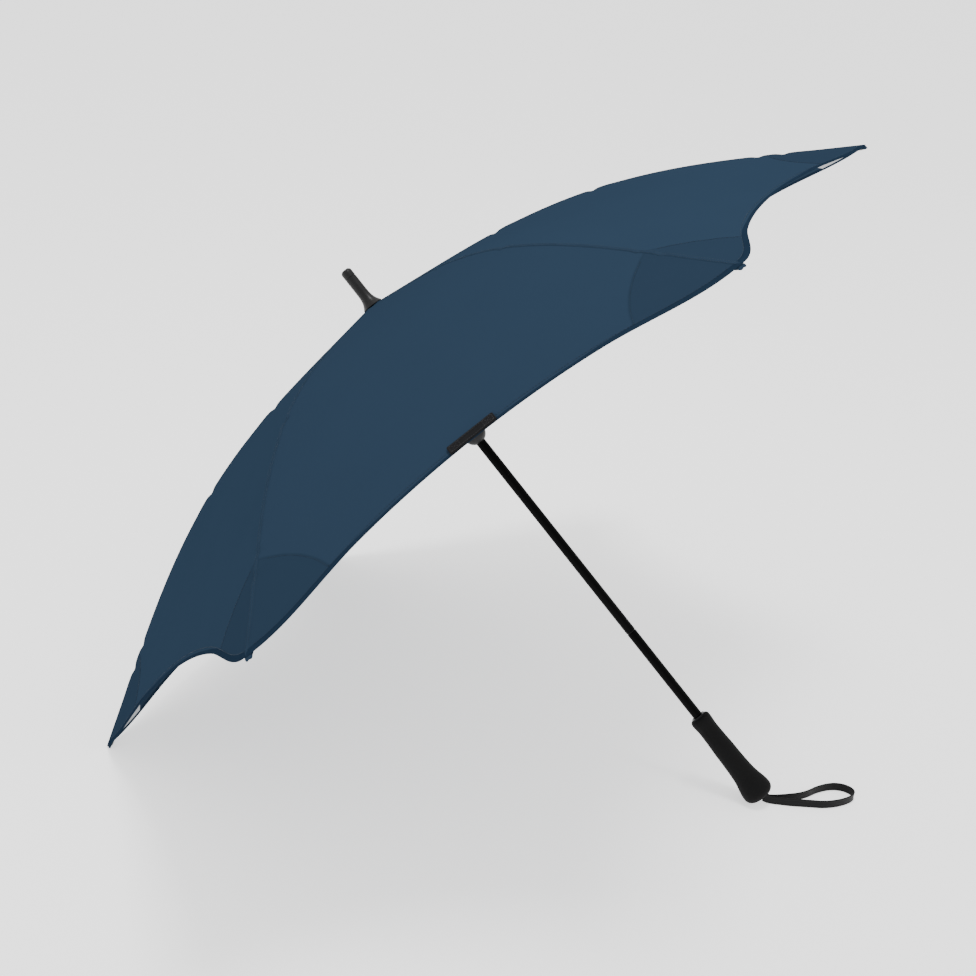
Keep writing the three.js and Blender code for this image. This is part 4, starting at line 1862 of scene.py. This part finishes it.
@dataclass
class Runner:
    """The runner: a notched collar that takes the stretchers, a waist and a domed grip.

    Attributes:
        axes: the umbrella's axes.
        top: its top.
        bottom: its bottom.
        bore: its bore's radius.
        radius: the collar's and the dome's radius.
        neck: the waist's radius.
        slot: a notch's floor radius and width.
        keyway: the keyway's reach and width.
    """

    axes: Axes
    top: float = -0.150
    bottom: float = -0.2176
    bore: float = 0.0066
    radius: float = 0.0146
    neck: float = 0.0106
    slot: tuple[float, float] = (0.0099, 0.0038)
    keyway: tuple[float, float] = (0.0089, 0.0044)

    def build(self) -> None:
        """Makes the runner."""
        r, n, top, low = self.radius, self.neck, self.top, self.bottom
        centre = low + r
        profile = [(self.bore, low + 0.0016)]
        profile += arc((0.0, centre), r, -63, 0, 14)
        dome = [(r - 0.0002, 0.003), (r - 0.0012, 0.007), (n, 0.007), (n, 0.012)]
        profile += bezier([(x, centre + z) for x, z in dome], 10)
        collar = [(n, 0.020), (n, 0.0165), (r - 0.0004, 0.0165), (r, 0.0140)]
        profile += bezier([(x, top - z) for x, z in collar], 8)
        ring = [(r, 0.009), (r - 0.0004, 0.0086), (r - 0.0004, 0.0080), (r, 0.0076)]
        profile += [(x, top - z) for x, z in ring]
        profile += arc((r - 0.001, top - 0.001), 0.001, 0, 90, 4) + [(self.bore, top)]
        body = Mould.turned("runner_body", profile, self.axes, 84)
        floor, width = self.slot
        reach, key = self.keyway
        tools = []
        for number in range(PANELS):
            side = self.axes.turned((number + 0.5) * 360.0 / PANELS)
            corners = (floor, -width / 2, top - 0.020), (0.03, width / 2, top + 0.001)
            tools.append(Mould.block("notch", *corners, side))
        corners = (0.0, -key / 2, low - 0.01), (reach, key / 2, top + 0.01)
        tools.append(Mould.block("keyway", *corners, self.axes.turned(CATCH_ANGLE)))
        Mould.carve(body, tools)
        fit(body, RUNNER_MOULDED, "runner", "runner")
        LOG.info("runner: %.0f mm long", (self.top - self.bottom) / MM)


@dataclass
class Handle:
    """The soft grip: rounded shoulders, a slight waist and a flared, rounded heel.

    Attributes:
        axes: the umbrella's axes.
        top: the grip's top.
        bottom: its end.
        shoulder: the shoulders' radius.
        waist: the waist's radius.
        heel: the radius where the heel starts.
        flare: the heel's radius.
        corner: the heel's rounding.
        rounding: the shoulders' rounding.
        bore: the bore's radius.
        plug: the end plug's radius and depth.
    """

    axes: Axes
    top: float = -0.6575
    bottom: float = -0.787
    shoulder: float = 0.0134
    waist: float = 0.0125
    heel: float = 0.0153
    flare: float = 0.0197
    corner: float = 0.010
    rounding: float = 0.0042
    bore: float = 0.0094
    plug: tuple[float, float] = (0.0085, 0.0107)

    def outside(self) -> list[tuple[float, float]]:
        """The grip's outside from its end face up to its top, as (radius, height).

        Returns:
            The outline.
        """
        centre = (self.flare - self.corner, self.bottom + self.corner)
        side = arc(centre, self.corner, -90, 0, 14)[:-1] + [(self.flare, centre[1])]
        heel, palm, waist = self.heel, self.waist + 0.0012, self.waist
        curves = (
            (14, (self.flare, centre[1] + 0.009), (heel + 0.0009, -0.759), (heel, -0.750)),
            (12, (heel - 0.0009, -0.741), (palm, -0.722), (palm, -0.710)),
            (10, (waist + 0.0006, -0.698), (waist, -0.688), (waist, -0.678)),
            (8, (waist, -0.671), (self.shoulder, -0.669), (self.shoulder, -0.664)),
        )
        for steps, *points in curves:
            side += bezier([side[-1], *points], steps)[1:]
        side += arc((self.shoulder - self.rounding, self.top - self.rounding), self.rounding, 0, 90, 9)
        return side

    def build(self) -> None:
        """Makes the grip."""
        radius, depth = self.plug
        profile = [(radius, self.bottom)] + self.outside()
        profile += [(self.bore, self.top), (self.bore, self.bottom + depth), (radius, self.bottom + depth)]
        grip = Mould.turned("soft_grip", profile, self.axes, 112)
        fit(grip, GRIP_RUBBER, "frame", "handle_grip")
        LOG.info("handle: %.0f mm grip", (self.top - self.bottom) / MM)


@dataclass
class Fittings:
    """The CAD pieces that keep their shape and take a better finish.

    Attributes:
        nodes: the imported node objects, by name.
    """

    nodes: Mapping[str, bpy.types.Object]

    @staticmethod
    def finish_of(name: str) -> Finish | None:
        """The finish of a node, by its name's start.

        Args:
            name: the node's name.

        Returns:
            The finish, or nothing if another mesh replaces the node.
        """
        starts = {
            "rib_tip": BLACK_MOULDED,
            "rib_bracket": BLACK_MOULDED,
            "rib_pin": CATCH_STEEL,
            "rib_": ROD,
            "stretcher": LINK_STEEL,
            "crown_notch": BLACK_MOULDED,
            "crown_wire": CATCH_STEEL,
            "shaft_coupler": BLACK_MOULDED,
            "handle_core": BLACK_MOULDED,
            "handle_end_plug": BLACK_MOULDED,
            "top_catch": CATCH_STEEL,
            "bottom_catch": CATCH_STEEL,
        }
        return next((finish for start, finish in starts.items() if name.startswith(start)), None)

    def build(self) -> None:
        """Dresses each node."""
        for name, node in self.nodes.items():
            finish = self.finish_of(name)
            if finish is None:
                continue
            for slot in node.material_slots:
                slot.material = finish.material()
            LOG.info("dressed %s in %s", name, finish.name)


@dataclass
class Studio:
    """The floor, the lights and the camera.

    Attributes:
        camera_at: where the camera is.
        camera_right: the way its right points.
        camera_ahead: the way it looks.
        lens: its focal length, on a 36 mm sensor.
        sky: the soft daylight's strength.
        floor_half: half the floor's side.
        floor_drop: how far the floor lies under the umbrella.
        lamps: each lamp's name, place, aim, size and power in watts.
    """

    camera_at: tuple[float, float, float] = (0.656942, -1.904787, 1.25546)
    camera_right: tuple[float, float, float] = (0.92147255, 0.37692732, 0.09388361)
    camera_ahead: tuple[float, float, float] = (-0.30807646, 0.85636863, -0.41439313)
    lens: float = 65.28
    sky: float = 1.20
    floor_half: float = 14.0
    floor_drop: float = 0.0002
    lamps: tuple[tuple, ...] = (
        ("overhead", (0.2, -0.2, 3.2), (0.1, 0.0, 0.0), 0.7, 58.0),
        ("front_fill", (-1.2, -2.6, 2.0), (0.0, 0.0, 0.3), 2.2, 4.0),
    )

    def camera(self) -> bpy.types.Object:
        """Makes the camera and makes it the scene's.

        Returns:
            The camera.
        """
        data = bpy.data.cameras.new("camera")
        data.lens, data.sensor_width = self.lens, 36.0
        data.clip_end = 60.0
        camera = bpy.data.objects.new("camera", data)
        right, ahead = Vector(self.camera_right), Vector(self.camera_ahead)
        up = right.cross(ahead)
        turn = Matrix((right, up, -ahead)).transposed().to_4x4()
        camera.matrix_world = Matrix.Translation(self.camera_at) @ turn
        bpy.context.scene.collection.objects.link(camera)
        bpy.context.scene.camera = camera
        return camera

    @staticmethod
    def lamp(
        name: str, at: Sequence[float], aim: Sequence[float], size: float, power: float
    ) -> bpy.types.Object:
        """Makes a square softbox.

        Args:
            name: its name.
            at: where it is.
            aim: the point that it faces.
            size: its side.
            power: its power in watts.

        Returns:
            The light.
        """
        data = bpy.data.lights.new(name, "AREA")
        data.shape, data.size, data.energy = "SQUARE", size, power
        lamp = bpy.data.objects.new(name, data)
        lamp.location = at
        lamp.rotation_euler = (Vector(aim) - Vector(at)).to_track_quat("-Z", "Y").to_euler()
        bpy.context.scene.collection.objects.link(lamp)
        return lamp

    def floor(self) -> bpy.types.Object:
        """Makes the pale floor.

        Returns:
            The floor.
        """
        size = self.floor_half
        points = np.array([(x * size, y * size, 0) for x, y in ((-1, -1), (1, -1), (1, 1), (-1, 1))], float)
        floor = Mould.piece("floor", points, [(0, 1, 2, 3)])
        floor.location.z = -self.floor_drop
        floor.data.materials.append(FLOOR.material())
        return floor

    def build(self) -> None:
        """Makes the floor, the soft daylight and the lamps."""
        self.floor()
        world = bpy.data.worlds.new("soft_daylight")
        world.use_nodes = True
        sky = next(n for n in world.node_tree.nodes if n.type == "BACKGROUND")
        sky.inputs["Color"].default_value = (1.0, 1.0, 1.0, 1.0)
        sky.inputs["Strength"].default_value = self.sky
        bpy.context.scene.world = world
        for lamp in self.lamps:
            self.lamp(*lamp)
        LOG.info("studio: floor, sky and two softboxes")


def main() -> None:
    """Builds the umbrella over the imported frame, piece by piece."""
    logging.basicConfig(level=logging.INFO, format="%(name)s: %(message)s")
    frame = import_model()
    axes = Axes.of_frame(frame["record"], PIVOT_DROP)
    studio = Studio()
    studio.camera()
    WristStrap(tuple(axes.row(np.array([0.0, 0.0, Handle.bottom])))).build()
    canopy = Canopy(axes)
    canopy.build()
    Tie(canopy).build()
    Shaft(axes).build()
    Ferrule(axes).build()
    Runner(axes).build()
    Handle(axes).build()
    Fittings(frame["nodes"]).build()
    studio.build()


if __name__ == "__main__":
    main()
